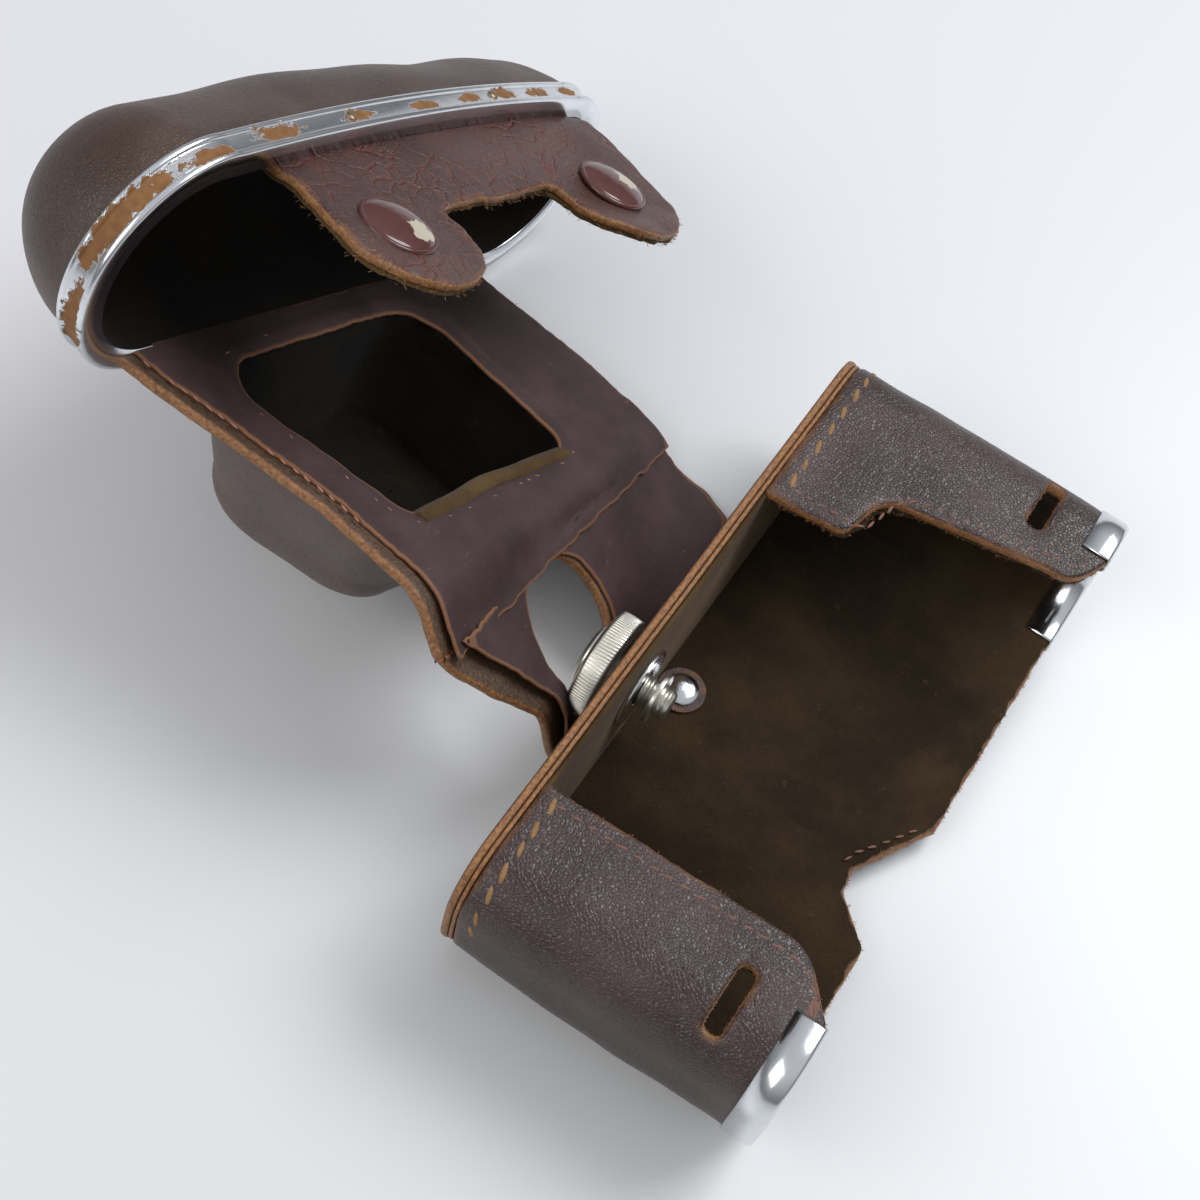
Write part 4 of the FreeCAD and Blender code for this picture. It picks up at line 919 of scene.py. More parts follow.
def make_small_hardware():
    knob_face, knob_back, knob_radius = -1.5, -6.5, 10.25
    place = axis_up(SCREW_X, SCREW_Z, 0.0)
    core = lathe("knob_core", place, arc_profile([
        (0, knob_face), (knob_radius - 0.9, knob_face), (knob_radius - 0.25, knob_face - 0.6),
        (knob_radius - 0.25, knob_back + 0.6), (knob_radius - 0.9, knob_back), (7.3, knob_back),
        (6.9, knob_back + 0.25), (6.6, knob_back), (6.5, knob_back - 0.9), (5.4, knob_back - 1.5),
        (0, knob_back - 1.5)], 0.3), "screw", NICKEL, 96)
    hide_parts("screw_knob")
    turns = np.linspace(0, 2 * math.pi, 96, endpoint=False)
    ridge = np.stack([(knob_radius - 0.28) * np.cos(turns), (knob_radius - 0.28) * np.sin(turns),
                      np.full(96, (knob_face + knob_back) / 2)], 1)
    out = np.stack([np.cos(turns), np.sin(turns), np.zeros(96)], 1)
    spin = place[:3, :3]
    bars("knob_knurl", moved(place, ridge), np.tile(spin @ np.array([0, 0, 1.0]), (96, 1)), out @ spin.T,
         4.5, 0.55, 0.62, "screw", NICKEL, None, 8, 10)

    turns_up = 64
    rings = []
    pitch, radius = 1.27, 3.15
    for height in np.arange(-1.6, 10.01, 0.08):
        angle = np.linspace(0, 2 * math.pi, turns_up, endpoint=False)
        cut = 0.45 * np.abs(((height / pitch - angle / (2 * math.pi)) % 1) * 2 - 1)
        size = radius - cut * (1 if height > 7.7 or 3.4 < height < 6.4 else 0)
        size = np.where((height > 6.6) & (height < 7.6), 2.62, size) * np.ones(turns_up)
        size = np.minimum(size, radius - max(0.0, height - 9.3) * 1.1)
        rings.append(np.stack([size * np.cos(angle), size * np.sin(angle), np.full(turns_up, height)], 1))
    screw = shell("tripod_thread", [moved(place, ring) for ring in rings], "screw", NICKEL)
    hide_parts("tripod_screw")
    washer("screw_ring", place, 5.0, 2.66, 6.65, 7.55, "screw_ring", NICKEL, "retaining_ring")
    washer("outer_washer", place, 8.0, 3.5, -0.8, 0.0, "body_half", NICKEL, "outer_screw_washer")
    washer("inner_washer", place, 8.0, 3.5, WALL, WALL + 0.8, "body_half", CHROME, "inner_screw_washer")

    rivet = HOME @ np.array(Matrix.Translation((0.5, 8.2, 0.0)))
    rivet_piece = lathe("root_rivet", rivet, arc_profile([
        (0, -3.0), (3.0, -3.0), (3.6, -2.4), (1.6, -2.4), (1.6, WALL + 0.6), (3.6, WALL + 0.6),
        (3.35, WALL + 1.1), (2.4, WALL + 1.65), (1.1, WALL + 1.95), (0, WALL + 2.0)], 0.25),
        "body_half", CHROME)
    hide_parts("flap_rivet")
    washer("rivet_leather", rivet, 4.8, 1.62, WALL + 0.02, WALL + 0.6, "body_half", FLAP_LEATHER, "rivet_washer")
    for label, x, y in (("left", 34.6, 43.4), ("right", -36.2, 41.0)):
        stud = lathe("stud_" + label, axis_out(HOME, x, y, 0.0), arc_profile([
            (0, 0), (5.2, 0), (4.9, 0.6), (1.9, 0.6), (1.9, 1.5), (2.4, 1.9), (2.4, 2.4), (1.8, 3.0), (0, 3.0)],
            0.15), "body_half", BRASS)
        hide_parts(label + "_snap_stud")


# Flap, fold and panel: one surface, u across and v from the root to the dome

MID_FLAP, MID_PANEL = -3.1, 35.8
BEND = -5.0


def flap_edges(u):
    """Where the flap's flat part starts and ends, and where the panel starts, across the width."""
    start = 14.0 + 7.0 * smooth(-4.0, -42.0, u)
    end = np.where(u > BEND, 30.0, 30.0 - (BEND - u) * 0.18)
    panel = np.where(u > BEND, 5.5, 5.5 + (BEND - u) * 0.17)
    return start, end, panel


def cubic(p0, t0, p1, t1, t):
    t = t[:, None]
    return ((2 * t ** 3 - 3 * t ** 2 + 1) * p0 + (t ** 3 - 2 * t ** 2 + t) * t0
            + (3 * t ** 2 - 2 * t ** 3) * p1 + (t ** 3 - t ** 2) * t1)


def fold_ends(u):
    start, end, panel = flap_edges(u)
    last = moved(FLAP, np.stack([u, np.full(len(u), MID_FLAP), end], 1))
    first = moved(COVER, np.stack([u, panel, np.full(len(u), MID_PANEL)], 1))
    return last, first, np.linalg.norm(first - last, axis=1) * 1.06


def panel_shift(u):
    """v on the panel less the closed case's height."""
    start, end, panel = flap_edges(u)
    return end + fold_ends(u)[2] - panel


def middle_surface(u, v):
    """The leather's middle surface in the body half's frame."""
    start, end, panel = flap_edges(u)
    ones = np.ones(len(u))
    root_low = np.stack([u, 0.3 * ones, -1.4 * ones], 1)
    root = np.stack([u, 0.3 - (v + 1.0), -1.4 * ones], 1)
    flat_start = moved(FLAP, np.stack([u, MID_FLAP * ones, start], 1))
    flat = moved(FLAP, np.stack([u, MID_FLAP * ones, v], 1))
    flap_way = FLAP[:3, 2]
    panel_way = COVER[:3, 1]
    reach = start + 1.0
    pull = np.stack([0 * u, -1.25 * reach, 0 * u], 1)
    bend = cubic(root_low, pull, flat_start, flap_way * reach[:, None] * 1.15, np.clip((v + 1) / reach, 0, 1))
    last, first, span = fold_ends(u)
    over = cubic(last, flap_way * span[:, None], first, panel_way * span[:, None],
                 np.clip((v - end) / span, 0, 1))
    high = v - (end + span) + panel
    face = moved(COVER, np.stack([u, high, MID_PANEL * ones], 1))
    out = np.where((v < -1)[:, None], root, bend)
    out = np.where((v > start)[:, None], flat, out)
    out = np.where((v > end)[:, None], over, out)
    return np.where((v > end + span)[:, None], face, out)


def on_flap(uvw):
    """(u, v, w) to the opened case; w grows outwards from the leather's middle."""
    u, v, w = uvw[:, 0], uvw[:, 1], uvw[:, 2]
    here = middle_surface(u, v)
    step = 0.05
    along_u = middle_surface(u + step, v) - middle_surface(u - step, v)
    along_v = middle_surface(u, v + step) - middle_surface(u, v - step)
    normal = np.cross(along_u, along_v)
    normal /= np.linalg.norm(normal, axis=1)[:, None]
    wave = (ripple(here, 34.0, 8) * 0.45 + ripple(here, 11.0, 9) * 0.12) * smooth(16.0, 24.0, v)
    wave = wave * (1 - 0.8 * smooth(44.0, 54.0, v))
    return moved(HOME, here + normal * (w + wave)[:, None])


def panel_uv(points):
    """Panel points (x, height) as (u, v)."""
    return np.stack([points[:, 0], points[:, 1] + panel_shift(points[:, 0])], 1)


CUT_FROM = moved(FLAP, np.array([[0.0, MID_FLAP, 29.0]]))[0]
CUT_WAY = moved(COVER, np.array([[0.0, 8.0, MID_PANEL]]))[0] - CUT_FROM
CUT_WAY /= np.linalg.norm(CUT_WAY)


def cut_line(us, beyond=0.0):
    """The line across the leather where the flap's piece meets the panel's, square to the fold."""
    out = []
    for u in us:
        v = np.linspace(20.0, 40.0, 401)
        points = middle_surface(np.full(len(v), u), v)
        ahead = (points - CUT_FROM) @ CUT_WAY
        out.append((u, float(np.interp(beyond, ahead, v))))
    return np.array(out)


def flap_outline(inset, beyond, left_extra=0.0):
    """Flap from its riveted root to the cut line (u, v)."""
    left_u, right_u = 49.0 - inset - left_extra, -49.2 + inset
    across = cut_line(np.linspace(left_u, right_u, 60), beyond)
    left = [(26.0 - inset, 1.0), (29.0 - inset - left_extra * 0.3, 5.0), (34.5 - inset - left_extra * 0.8, 13.5),
            (40.5 - inset - left_extra, 21.5)]
    right = [(-47.5 + inset, 17.0), (-45.5 + inset, 9.0), (-42.0 + inset, 3.5), (-36.0, 0.4 + inset)]
    root = [(-12.5 + inset * 0.5, -0.2 + inset), (-11.0, -3.0), (-10.4, -9.0), (-6.0, -14.8), (0.0, -15.6), (12.0, -15.6),
            (19.0, -14.8), (22.6, -9.0), (24.5, -3.0)]
    loop = np.vstack([np.array(left), across, np.array(right), np.array(root)])
    return resampled(loop, 0.9)


def panel_outline(inset, beyond, left_extra=0.0, top=66.0):
    """Front panel from the cut line to behind the dome's rim, as (u, v)."""
    left = [(49.6, 12.0), (50.0, 22.0), (51.6, 30.0), (54.4, 42.0), (57.6, 54.0), (60.0, top)]
    right = [(-47.4, top), (-48.6, 54.0), (-50.2, 42.0), (-51.0, 32.0), (-50.6, 22.0), (-50.2, 15.0)]
    left = np.array(left) - np.array([[inset + left_extra, 0]])
    right = np.array(right) + np.array([[inset, 0]])
    left[-1, 1] -= inset
    right[0, 1] -= inset
    across = cut_line(np.linspace(-49.2 + inset, 49.0 - inset - left_extra, 60), beyond)
    loop = np.vstack([across, panel_uv(left), panel_uv(right)])
    return resampled(loop, 0.9)


NOSE_X, NOSE_Y, NOSE_W, NOSE_H = 13.5, 34.6, 35.4, 24.4
NOSE_DEEP, NOSE_TAPER, NOSE_EDGE = 25.3, 5.8, 7.5


def nose_loop(inset, taper, step=None):
    """The nose from the front (x, y): its left wall leans in towards the bottom."""
    half_width = NOSE_W - inset - taper
    half_height = NOSE_H - inset - taper * 0.65
    corner = 9.0 - inset + taper * 0.25
    left, right = NOSE_X + half_width, NOSE_X - half_width
    low, high = NOSE_Y - half_height, NOSE_Y + half_height
    corners = [(right, low, corner), (left - 10.0, low, corner), (left, high, corner + 4), (right, high, corner + 4)]
    return rounded(corners, step, 14, 14)


def make_flap_and_panel():
    hole = disc(SCREW_X, SCREW_Z, 13.2)
    outline = frayed(flap_outline(0.0, 0.0), 0.10, 8.0, 41)
    leather = sheet("flap_outer", [outline, hole], on_flap, -1.0, 1.0, None, FLAP_LEATHER)
    inner_hole = frayed(disc(SCREW_X - 0.3, SCREW_Z - 0.5, 13.9), 0.25, 9.0, 42)

    def lifted(uvw):
        """The lining curls away from the outer leather along its left edge."""
        out = uvw.copy()
        left = smooth(24.0, 46.0, uvw[:, 0] + 0.35 * np.maximum(0, 30 - uvw[:, 1]))
        along = smooth(1.0, 9.0, uvw[:, 1]) * (1 - 0.75 * smooth(30.0, 40.0, uvw[:, 1]))
        out[:, 2] -= 2.4 * left * along
        return on_flap(out)

    edge = frayed(flap_outline(1.2, 1.0, 3.6), 0.30, 9.0, 43)
    lining = sheet("flap_lining_sheet", [edge, inner_hole], lifted, -1.75, -1.05, None, LINING)
    root_start, root_end = moved(HOME, np.array([[5.0, 0.3, 0.0], [5.0, -10.0, 0.0]])) * MM
    for piece, nodes, slot_name in ((leather, ("flap_root", "flap_leather", "root_fold"), "flap_leather"),
                                    (lining, ("flap_lining",), "thin_lining")):
        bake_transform(piece)
        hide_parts(*nodes)

    mouth = panel_uv(nose_loop(0.6, 0.0, 0.9))
    outline = frayed(panel_outline(0.0, 0.0), 0.12, 8.0, 44)
    panel = sheet("panel_outer", [outline, mouth], on_flap, -1.0, 1.0, None, FLAP_LEATHER)
    mouth_inner = frayed(panel_uv(nose_loop(WALL + 0.2, 0.0, 0.9)), 0.25, 10.0, 45)

    def eased(uvw):
        """The panel's lining lies over the flap's, with a soft roll at the fold and the nose mouth."""
        out = uvw.copy()
        near = gap(uvw[:, :2], mouth_inner)
        out[:, 2] -= 0.55 * np.exp(-((near - 2.6) / 1.6) ** 2)
        fold = cut_line(np.array([0.0]))[0, 1]
        out[:, 2] -= 0.9 * (1 - smooth(fold + 1.0, fold + 7.0, uvw[:, 1]))
        out[:, 2] -= 1.3 * smooth(40.0, 50.0, uvw[:, 0]) * (1 - smooth(fold + 8, fold + 30, uvw[:, 1]))
        return on_flap(out)

    edge = frayed(panel_outline(1.6, -1.5, 1.4), 0.28, 8.0, 46)
    inner = sheet("panel_lining_sheet", [edge, mouth_inner], eased, -1.75, -1.05, None, LINING)
    fold_start = tuple(moved(HOME, CUT_FROM[None])[0] * MM)
    fold_end = tuple(moved(HOME, (CUT_FROM + CUT_WAY * 9.0)[None])[0] * MM)
    for piece, nodes, slot_name in ((panel, ("front_panel", "front_fold"), "flap_leather"),
                                    (inner, ("panel_lining",), "thin_lining")):
        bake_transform(piece)
        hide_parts(*nodes)

    left_line = np.array([(47.4, 14.0), (47.9, 22.0), (49.4, 30.0), (52.0, 42.0), (55.0, 53.0), (57.2, 61.0)])
    steps = np.linspace(0, 5, 120)
    left_line = np.stack([np.interp(steps, range(6), left_line[:, i]) for i in (0, 1)], 1)
    seam("panel_edge_stitches", panel_uv(left_line), on_flap, -1.9, 2.6, 1.7, 0.42, "cover", PINK_THREAD, -0.2,
         0.25, 51, 0.35)
    around_mouth = panel_uv(nose_loop(WALL - 2.6, 0.0, 0.9))
    lower = around_mouth[:int(len(around_mouth) * 0.62)]
    seam("mouth_stitches", lower, on_flap, -2.2, 3.1, 1.5, 0.36, "cover", PINK_THREAD, -0.2, 0.3, 52, 0.55)
    fringe("panel_edge_fibres", panel_outline(0.0, 0.0), on_flap, -1.0, 0.6, "cover", 1.6, 0.8, 53)
    make_nose()


def make_nose():
    """Deep moulded nose, its velvet and the raw strip at its mouth."""
    def ring(inset, taper, level, dent=True):
        loop = nose_loop(inset, taper)
        points = np.stack([loop[:, 0], loop[:, 1], np.full(len(loop), level)], 1)
        if dent:
            middle = np.array([NOSE_X, NOSE_Y, level])
            away = points - middle
            away /= np.linalg.norm(away, axis=1)[:, None] + 1e-9
            deep = smooth(37.0, 46.0, points[:, 2])
            points = points + away * (ripple(points, 30.0, 61) * 0.5 * deep)[:, None]
            points[:, 2] += ripple(points, 24.0, 62) * 0.35 * deep
        return points

    root, tip = 34.7, 34.6 + LEATHER + NOSE_DEEP

    def levels(inset):
        found = [(root, 0.0), (36.0, 0.0), (37.0, 0.15)]
        straight = tip - NOSE_EDGE
        for share in np.linspace(0.1, 1.0, 10):
            found.append((37.0 + (straight - 37.0) * share, NOSE_TAPER * share ** 1.15))
        for turn in np.radians(np.linspace(9, 90, 10)):
            found.append((straight + (NOSE_EDGE - inset) * math.sin(turn),
                          NOSE_TAPER + NOSE_EDGE * 0.95 * (1 - math.cos(turn))))
        last, taper = found[-1]
        for share in (0.25, 0.5, 0.75):
            found.append((last + 0.25 * share, taper + 14.0 * share))
        return found

    def layer(name, inset, thick, paint, nodes, slot_name):
        outer = [ring(inset, taper, level) for level, taper in levels(inset)]
        inner = [ring(inset + thick, taper, level) for level, taper in levels(inset + thick)]
        rings = outer[::-1] + inner
        count = len(outer[0])
        depth = np.concatenate([np.zeros(len(outer) * count), np.ones(len(inner) * count)])
        away = [abs(r[0, 2] - root) for r in rings]
        piece = shell(name, [moved(ON_COVER, r) for r in rings], "cover", paint,
                      {"rim": np.repeat(away, count), "depth": depth})
        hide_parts(*nodes)

    layer("nose_outer", 0.0, LEATHER - 0.1, NOSE_LEATHER, ("nose_shell",), "body_leather")
    layer("nose_velvet", LEATHER, SUEDE_SHEET, VELVET, ("nose_lining",), "velvet")

    low = NOSE_Y - NOSE_H + WALL
    left, right = NOSE_X + NOSE_W - 10.0 - WALL - 1.0, NOSE_X - NOSE_W + WALL + 3.0
    xs = np.linspace(right, left, 70)
    bow = ripple(np.stack([xs, 0 * xs, 0 * xs], 1), 26.0, 63) * 0.5
    path = moved(ON_COVER, np.stack([xs, low + bow, np.full(len(xs), 33.8)], 1))
    up = np.tile(ON_COVER[:3, 1], (len(xs), 1))
    inward = np.tile(-ON_COVER[:3, 2], (len(xs), 1))
    profile = np.array([(-0.6, -1.8), (0.25, -1.7), (0.75, -0.9), (0.7, 0.3), (-0.6, 1.8), (-3.0, 2.6), (-6.0, 2.7),
                        (-6.2, 1.6), (-3.0, 1.2), (-1.0, 0.4)])
    strip = swept("mouth_suede", path, inward, up, profile, "cover", OCHRE)
    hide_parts("nose_mouth_strip")


# Dome and band

RIM, DOME_END, DOME_R, ARCH, DOME_H = 63.0, 54.0, 21.0, 2.6, 27.0
DOME_Z = 37.0 - DOME_R


def dome_plan(inset, front_count=54, end_count=44, rear_count=54):
    """The dome from above (x, z), with matching points for every inset; starts at the front's left."""
    r = DOME_R - inset
    xs = np.linspace(-DOME_END, DOME_END, front_count, endpoint=False)
    front_line = np.stack([xs, np.full(front_count, DOME_Z + r)], 1)
    turn = np.linspace(math.pi / 2, -math.pi / 2, end_count, endpoint=False)
    right_end = np.stack([DOME_END + r * np.cos(turn), DOME_Z + r * np.sin(turn)], 1)
    xs = np.linspace(DOME_END, -DOME_END, rear_count, endpoint=False)
    rear = np.stack([xs, DOME_Z - r - ARCH * (1 - (xs / DOME_END) ** 2)], 1)
    turn = np.linspace(-math.pi / 2, -1.5 * math.pi, end_count, endpoint=False)
    left_end = np.stack([-DOME_END + r * np.cos(turn), DOME_Z + r * np.sin(turn)], 1)
    return np.vstack([front_line, right_end, rear, left_end])


def make_dome():
    """Moulded lid, its velvet and the bright band."""
    def ring(inset, level):
        plan = dome_plan(inset)
        points = np.stack([plan[:, 0], np.full(len(plan), level), plan[:, 1]], 1)
        high = smooth(RIM + 6.0, RIM + 14.0, points[:, 1])
        points[:, 1] += ripple(points, 42.0, 71) * 0.5 * high
        points[:, 2] += ripple(points, 38.0, 72) * 0.5 * high
        return points

    def levels(inset):
        found = [(RIM + 0.62, 0.0), (RIM + 2.0, 0.0), (RIM + 4.5, 0.0), (RIM + 6.5, 0.0)]
        reach = DOME_H - 6.5 - inset
        for turn in np.radians(np.linspace(5, 80, 16)):
            found.append((RIM + 6.5 + reach * math.sin(turn) / math.sin(math.radians(80)),
                          17.0 * (1 - math.cos(turn)) * (1 - inset / 40)))
        last, taper = found[-1]
        for share in (0.35, 0.7, 1.0):
            found.append((last + 0.2 * share, taper + (19.2 - inset - taper) * share))
        return found

    def layer(name, inset, thick, paint, nodes, slot_name):
        outer = [ring(inset + taper, level) for level, taper in levels(inset)]
        inner = [ring(inset + thick + taper, level) for level, taper in levels(inset + thick)]
        rings = outer[::-1] + inner
        count = len(outer[0])
        depth = np.concatenate([np.zeros(len(outer) * count), np.ones(len(inner) * count)])
        away = [abs(r[:, 1].mean() - RIM) for r in rings]
        piece = shell(name, [moved(ON_COVER, r) for r in rings], "cover", paint,
                      {"rim": np.repeat(away, count), "depth": depth})
        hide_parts(*nodes)

    layer("dome_outer", 0.0, LEATHER - 0.05, DOME_LEATHER, ("dome_shell",), "body_leather")
    layer("dome_velvet", LEATHER, SUEDE_SHEET, VELVET, ("dome_lining",), "velvet")
    make_band()


def make_band():
    """Formed band: a flat channel between two beads, its lip turned in under the leather's edge."""
    def bead(centre, size, rise, count=9):
        turns = np.linspace(-math.pi / 2, math.pi / 2, count)
        return [(0.9 + rise * math.cos(t), centre + size * math.sin(t)) for t in turns]

    profile = [(-3.1, RIM), (0.5, RIM)]
    profile += bead(RIM + 0.75, 0.72, 0.55)
    profile += [(0.86, RIM + 1.7), (0.80, RIM + 3.0), (0.86, RIM + 4.3)]
    profile += bead(RIM + 5.2, 0.62, 0.5)
    profile += [(0.3, RIM + 5.95), (0.04, RIM + 5.9), (0.04, RIM + 0.6), (-3.1, RIM + 0.55)]
    profile = np.array(profile)
    fine = dome_plan(0.0, 300, 160, 240)
    start = int(np.argmin(np.abs(fine[:300, 0] - 52.0)))
    stop = int(np.argmin(np.abs(fine[:300, 0] + 52.0)))
    loop = np.vstack([fine[start:], fine[:stop]])
    whole = around(fine)
    if (whole[10] @ np.array([0, 1.0])) < 0:
        whole = -whole
    out2 = np.vstack([whole[start:], whole[:stop]])
    path = np.stack([loop[:, 0], np.zeros(len(loop)), loop[:, 1]], 1)
    out3 = np.stack([out2[:, 0], np.zeros(len(loop)), out2[:, 1]], 1)
    run = np.concatenate([[0], np.cumsum(np.linalg.norm(np.diff(loop, axis=0), axis=1))])
    size = len(profile)
    points = np.vstack([p + profile[:, :1] * o + profile[:, 1:] * np.array([0, 1.0, 0])
                        for p, o in zip(path, out3)])
    along = np.repeat(run, size)
    across = points[:, 1] - RIM
    out = np.tile(profile[:, 0], len(loop))
    stains = [(24.0, 2.6, 9.0, 2.2), (46.0, 3.2, 13.0, 2.0), (64.0, 2.2, 5.0, 1.6), (80.0, 3.0, 6.0, 1.9),
              (101.0, 3.0, 5.0, 1.4), (121.0, 2.6, 5.5, 1.5), (137.0, 3.0, 4.0, 1.5), (150.0, 3.2, 5.0, 1.6),
              (163.0, 3.0, 4.5, 1.6), (176.0, 3.0, 4.0, 1.4), (205.0, 2.8, 6.0, 1.4)]
    marks = np.zeros(len(points))
    for at, level, long, wide in stains:
        far = np.sqrt(((along - at) / long) ** 2 + ((across - level) / wide) ** 2)
        marks = np.maximum(marks, 1.0 - 0.5 * far)
    marks = marks * (out > 0.5)
    faces = []
    rows = len(loop)
    for row in range(rows - 1):
        a, b = row * size, (row + 1) * size
        for i in range(size):
            k = (i + 1) % size
            faces.append((a + i, a + k, b + k, b + i))
    faces.append(tuple(range(size - 1, -1, -1)))
    faces.append(tuple((rows - 1) * size + i for i in range(size)))
    band = mesh_piece("rim_band_bright", moved(ON_COVER, points), faces, "cover", BAND_CHROME, {"residue": marks})
    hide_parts("rim_band")
    pins = None
    for index, x in enumerate((-23.0, 23.0)):
        z = DOME_Z - DOME_R - ARCH * (1 - (x / DOME_END) ** 2) - 0.85
        lean = 2 * ARCH * x / DOME_END ** 2
        base = ON_COVER @ np.array(Matrix.Translation((x, RIM + 3.0, z))
                                   @ Matrix.Rotation(lean, 4, "Y") @ Matrix.Rotation(math.pi, 4, "X"))
        pin = lathe("band_pin_%d" % (index + 1), base, [(0, -0.3), (1.15, -0.3), (1.1, 0.1), (0.85, 0.35),
                                                          (0.45, 0.5), (0, 0.55)], "cover", BRASS, 24)
        pins = pins or pin
    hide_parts("band_pins")


# Tab

SNAPS = {"left": (34.6, 43.4), "right": (-36.2, 41.0)}


def make_tab():
    """Closing tab: leather and backing from inside the dome down to two round tongues."""
    mid = -3.2

    def on_tab(uvw):
        x, y, out = uvw[:, 0], uvw[:, 1], uvw[:, 2]
        inside_wall = DOME_Z - DOME_R + WALL + 1.0 - ARCH * (1 - (x / DOME_END) ** 2)
        share = smooth(58.0, 65.0, y)
        z = mid * (1 - share) + inside_wall * share
        wave = ripple(np.stack([x, y, 0 * x], 1), 30.0, 81) * 0.7 + ripple(np.stack([x, y, 0 * x], 1), 9.0, 82) * 0.14
        curl = 1.2 * smooth(40.0, 28.0, y)
        z = z + (wave - curl) * (1 - smooth(55.0, 62.0, y)) - out
        return moved(ON_COVER, np.stack([x, y, z], 1))

    def outline(inset, top):
        ll, lr = SNAPS["left"]
        rl, rr = SNAPS["right"]
        left_low, right_low = lr - 13.4 + inset - 1.4, rr - 13.8 + inset - 1.0
        return rounded([
            (ll + 8.6 - inset, top, 1.5), (ll + 16.0 - inset, left_low, 13.2 - inset),
            (ll - 15.8 + inset, left_low, 13.2 - inset), (ll - 16.4 + inset, 46.0 + inset, 3.0),
            (rl + 15.0 - inset, 46.0 + inset, 3.0), (rl + 14.4 - inset, right_low, 13.6 - inset),
            (rl - 14.4 + inset, right_low, 13.6 - inset), (rl - 18.0 + inset, top, 1.5)])

    posts = [disc(x, y, 1.5) for x, y in SNAPS.values()]
    loop = frayed(outline(0.0, 68.6), 0.22, 6.0, 83)
    leather = sheet("tab_outer", [loop] + posts, on_tab, -1.0, 1.0, None, TAB_LEATHER)
    sockets = [disc(x, y, 5.0) for x, y in SNAPS.values()]
    back = frayed(outline(0.5, 66.0), 0.35, 5.0, 84)
    backing = sheet("tab_inner", [back] + sockets, on_tab, -2.0, -1.02, None, OCHRE)
    start = tuple(moved(ON_COVER, np.array([[0.0, 64.0, mid]]))[0] * MM)
    end = tuple(moved(ON_COVER, np.array([[0.0, 58.5, mid]]))[0] * MM)
    for piece, nodes, slot_name in ((leather, ("tab_leather", "tab_root", "tab_fold"), "body_leather"),
                                    (backing, ("tab_backing",), "raw_suede")):
        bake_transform(piece)
        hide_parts(*nodes)
    low_part = loop[loop[:, 1] < 57.0]
    fringe("tab_edge_fibres", low_part, on_tab, -1.9, 0.4, "tab", 4.0, 1.0, 85)
    between = np.array([[14.0, 49.4], [4.0, 49.2], [-6.0, 49.3], [-18.0, 49.6]])
    seam("tab_stitches", between, on_tab, 1.0, 1.9, 1.2, 0.4, "tab", DARK_THREAD_AND_HOLE_SHADE, 0.3, 0.0, 86)
    # tilt turns each cap's cream patch to the side toward the light: partly worn paint, partly a painted reflection.
    for (x, y), label, tilt in ((SNAPS["left"], "left", 2.2), (SNAPS["right"], "right", 2.9)):
        place = axis_out(ON_COVER, x, y, -4.35)

        def chip_and_reflection_mark(points):
            turned = np.arctan2(points[:, 1], points[:, 0])
            far = np.hypot(points[:, 0], points[:, 1])
            return np.clip(1.0 - np.abs(np.angle(np.exp(1j * (turned - tilt)))) / 1.5
                           - np.abs(far - 3.4) / 5.2, 0, 1) * (far < 6.3) + 0.12
        cap = lathe("cap_" + label, place, arc_profile([
            (0, -2.0), (1.5, -2.0), (1.5, -0.1), (6.9, -0.1), (7.2, 0.15), (7.2, 0.55), (6.9, 0.95), (6.5, 0.85),
            (6.1, 1.1), (5.0, 1.45), (3.4, 1.72), (1.7, 1.86), (0, 1.9)], 0.3), "tab", LACQUER, 72, None,
            {"chip": chip_and_reflection_mark})
        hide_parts(label + "_snap_cap")
        socket = ON_COVER @ np.array(Matrix.Translation((x, y, -2.2)))
        cup = lathe("socket_" + label, socket, arc_profile([
            (0, 0.0), (4.9, 0.0), (4.9, 1.2), (4.4, 1.5), (2.75, 1.5), (2.75, 0.2), (0, 0.2)], 0.15), "tab", BRASS)
        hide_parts(label + "_snap_socket")


# Stage

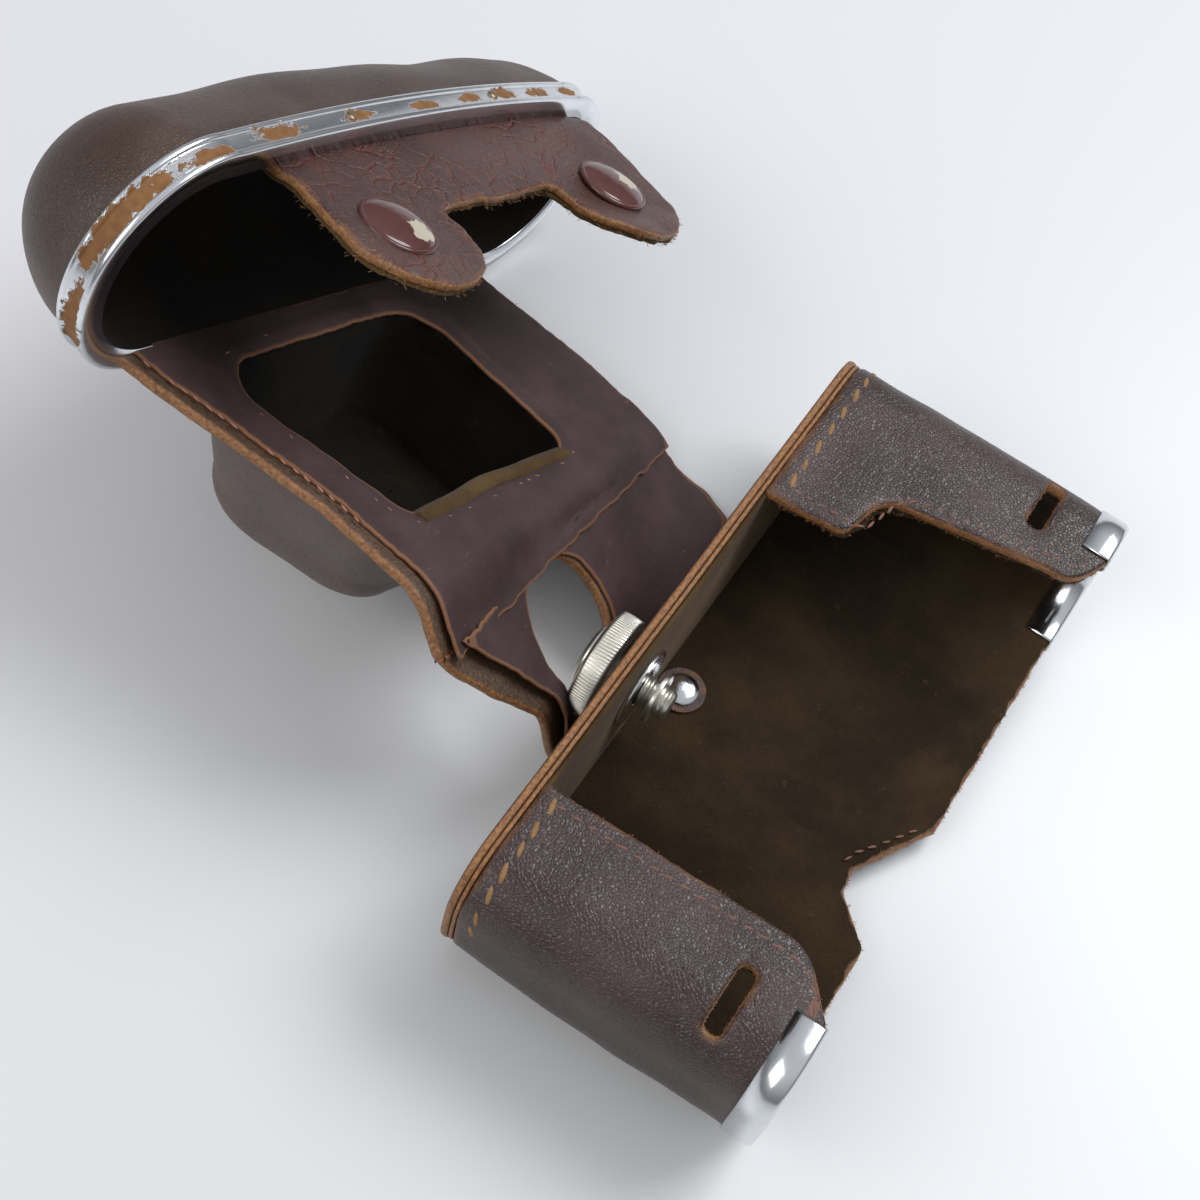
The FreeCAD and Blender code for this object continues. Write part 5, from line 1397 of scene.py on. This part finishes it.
def make_stage():
    bpy.ops.mesh.primitive_plane_add(size=6.0, location=(0, 0, -0.0002))
    table = bpy.context.object
    table.name = "table_top"
    kit = Finish("table_white")
    tone = kit.noise(1.1, 2.0)
    base = kit.mixed(tone.rise(0.3, 0.7), (0.71, 0.73, 0.73), (0.74, 0.735, 0.76))
    table.data.materials.append(kit.done(base, 0.32, None))

    world = bpy.data.worlds.new("studio")
    bpy.context.scene.world = world
    world.use_nodes = True
    nodes, links = world.node_tree.nodes, world.node_tree.links
    nodes.clear()
    coordinate = nodes.new("ShaderNodeTexCoord")
    split = nodes.new("ShaderNodeSeparateXYZ")
    ramp = nodes.new("ShaderNodeValToRGB")
    background = nodes.new("ShaderNodeBackground")
    out = nodes.new("ShaderNodeOutputWorld")
    links.new(coordinate.outputs["Generated"], split.inputs[0])
    links.new(split.outputs[2], ramp.inputs[0])
    links.new(ramp.outputs[0], background.inputs[0])
    links.new(background.outputs[0], out.inputs[0])
    ramp.color_ramp.elements[0].position = 0.0
    ramp.color_ramp.elements[0].color = (0.20, 0.20, 0.21, 1)
    ramp.color_ramp.elements[1].position = 0.75
    ramp.color_ramp.elements[1].color = (0.86, 0.88, 0.92, 1)
    background.inputs[1].default_value = 0.62

    def lamp(name, place, aim, size, power, colour):
        data = bpy.data.lights.new(name, "AREA")
        data.shape = "RECTANGLE"
        data.size, data.size_y = size
        data.energy = power
        data.color = colour
        item = bpy.data.objects.new(name, data)
        item.location = place
        item.rotation_euler = (Vector(aim) - Vector(place)).to_track_quat("-Z", "Y").to_euler()
        bpy.context.scene.collection.objects.link(item)

    lamp("window_light", (-0.55, 0.35, 0.85), (0, 0, 0.03), (0.7, 0.5), 7.5, (0.95, 0.97, 1.0))
    lamp("fill_light", (0.75, -0.45, 0.75), (0, 0, 0.03), (0.8, 0.6), 4.5, (1.0, 0.98, 0.95))

    camera = bpy.data.cameras.new("photo_view")
    camera.lens = 60.98
    camera.sensor_width = 36.0
    camera.clip_start = 0.01
    camera.clip_end = 20.0
    item = bpy.data.objects.new("photo_view", camera)
    right, up, ahead = (-0.5301, 0.8323, 0.1621), (-0.6809, -0.5317, 0.5037), (-0.5054, -0.1566, -0.8485)
    turn = Matrix((right, up, tuple(-a for a in ahead))).transposed().to_4x4()
    item.matrix_world = Matrix.Translation(Vector((201.98, 73.70, 337.79)) * MM) @ turn
    bpy.context.scene.collection.objects.link(item)
    bpy.context.scene.camera = item
    bpy.context.scene.view_settings.view_transform = "Standard"


make_stage()
make_body_half()
make_flap_and_panel()
make_dome()
make_tab()
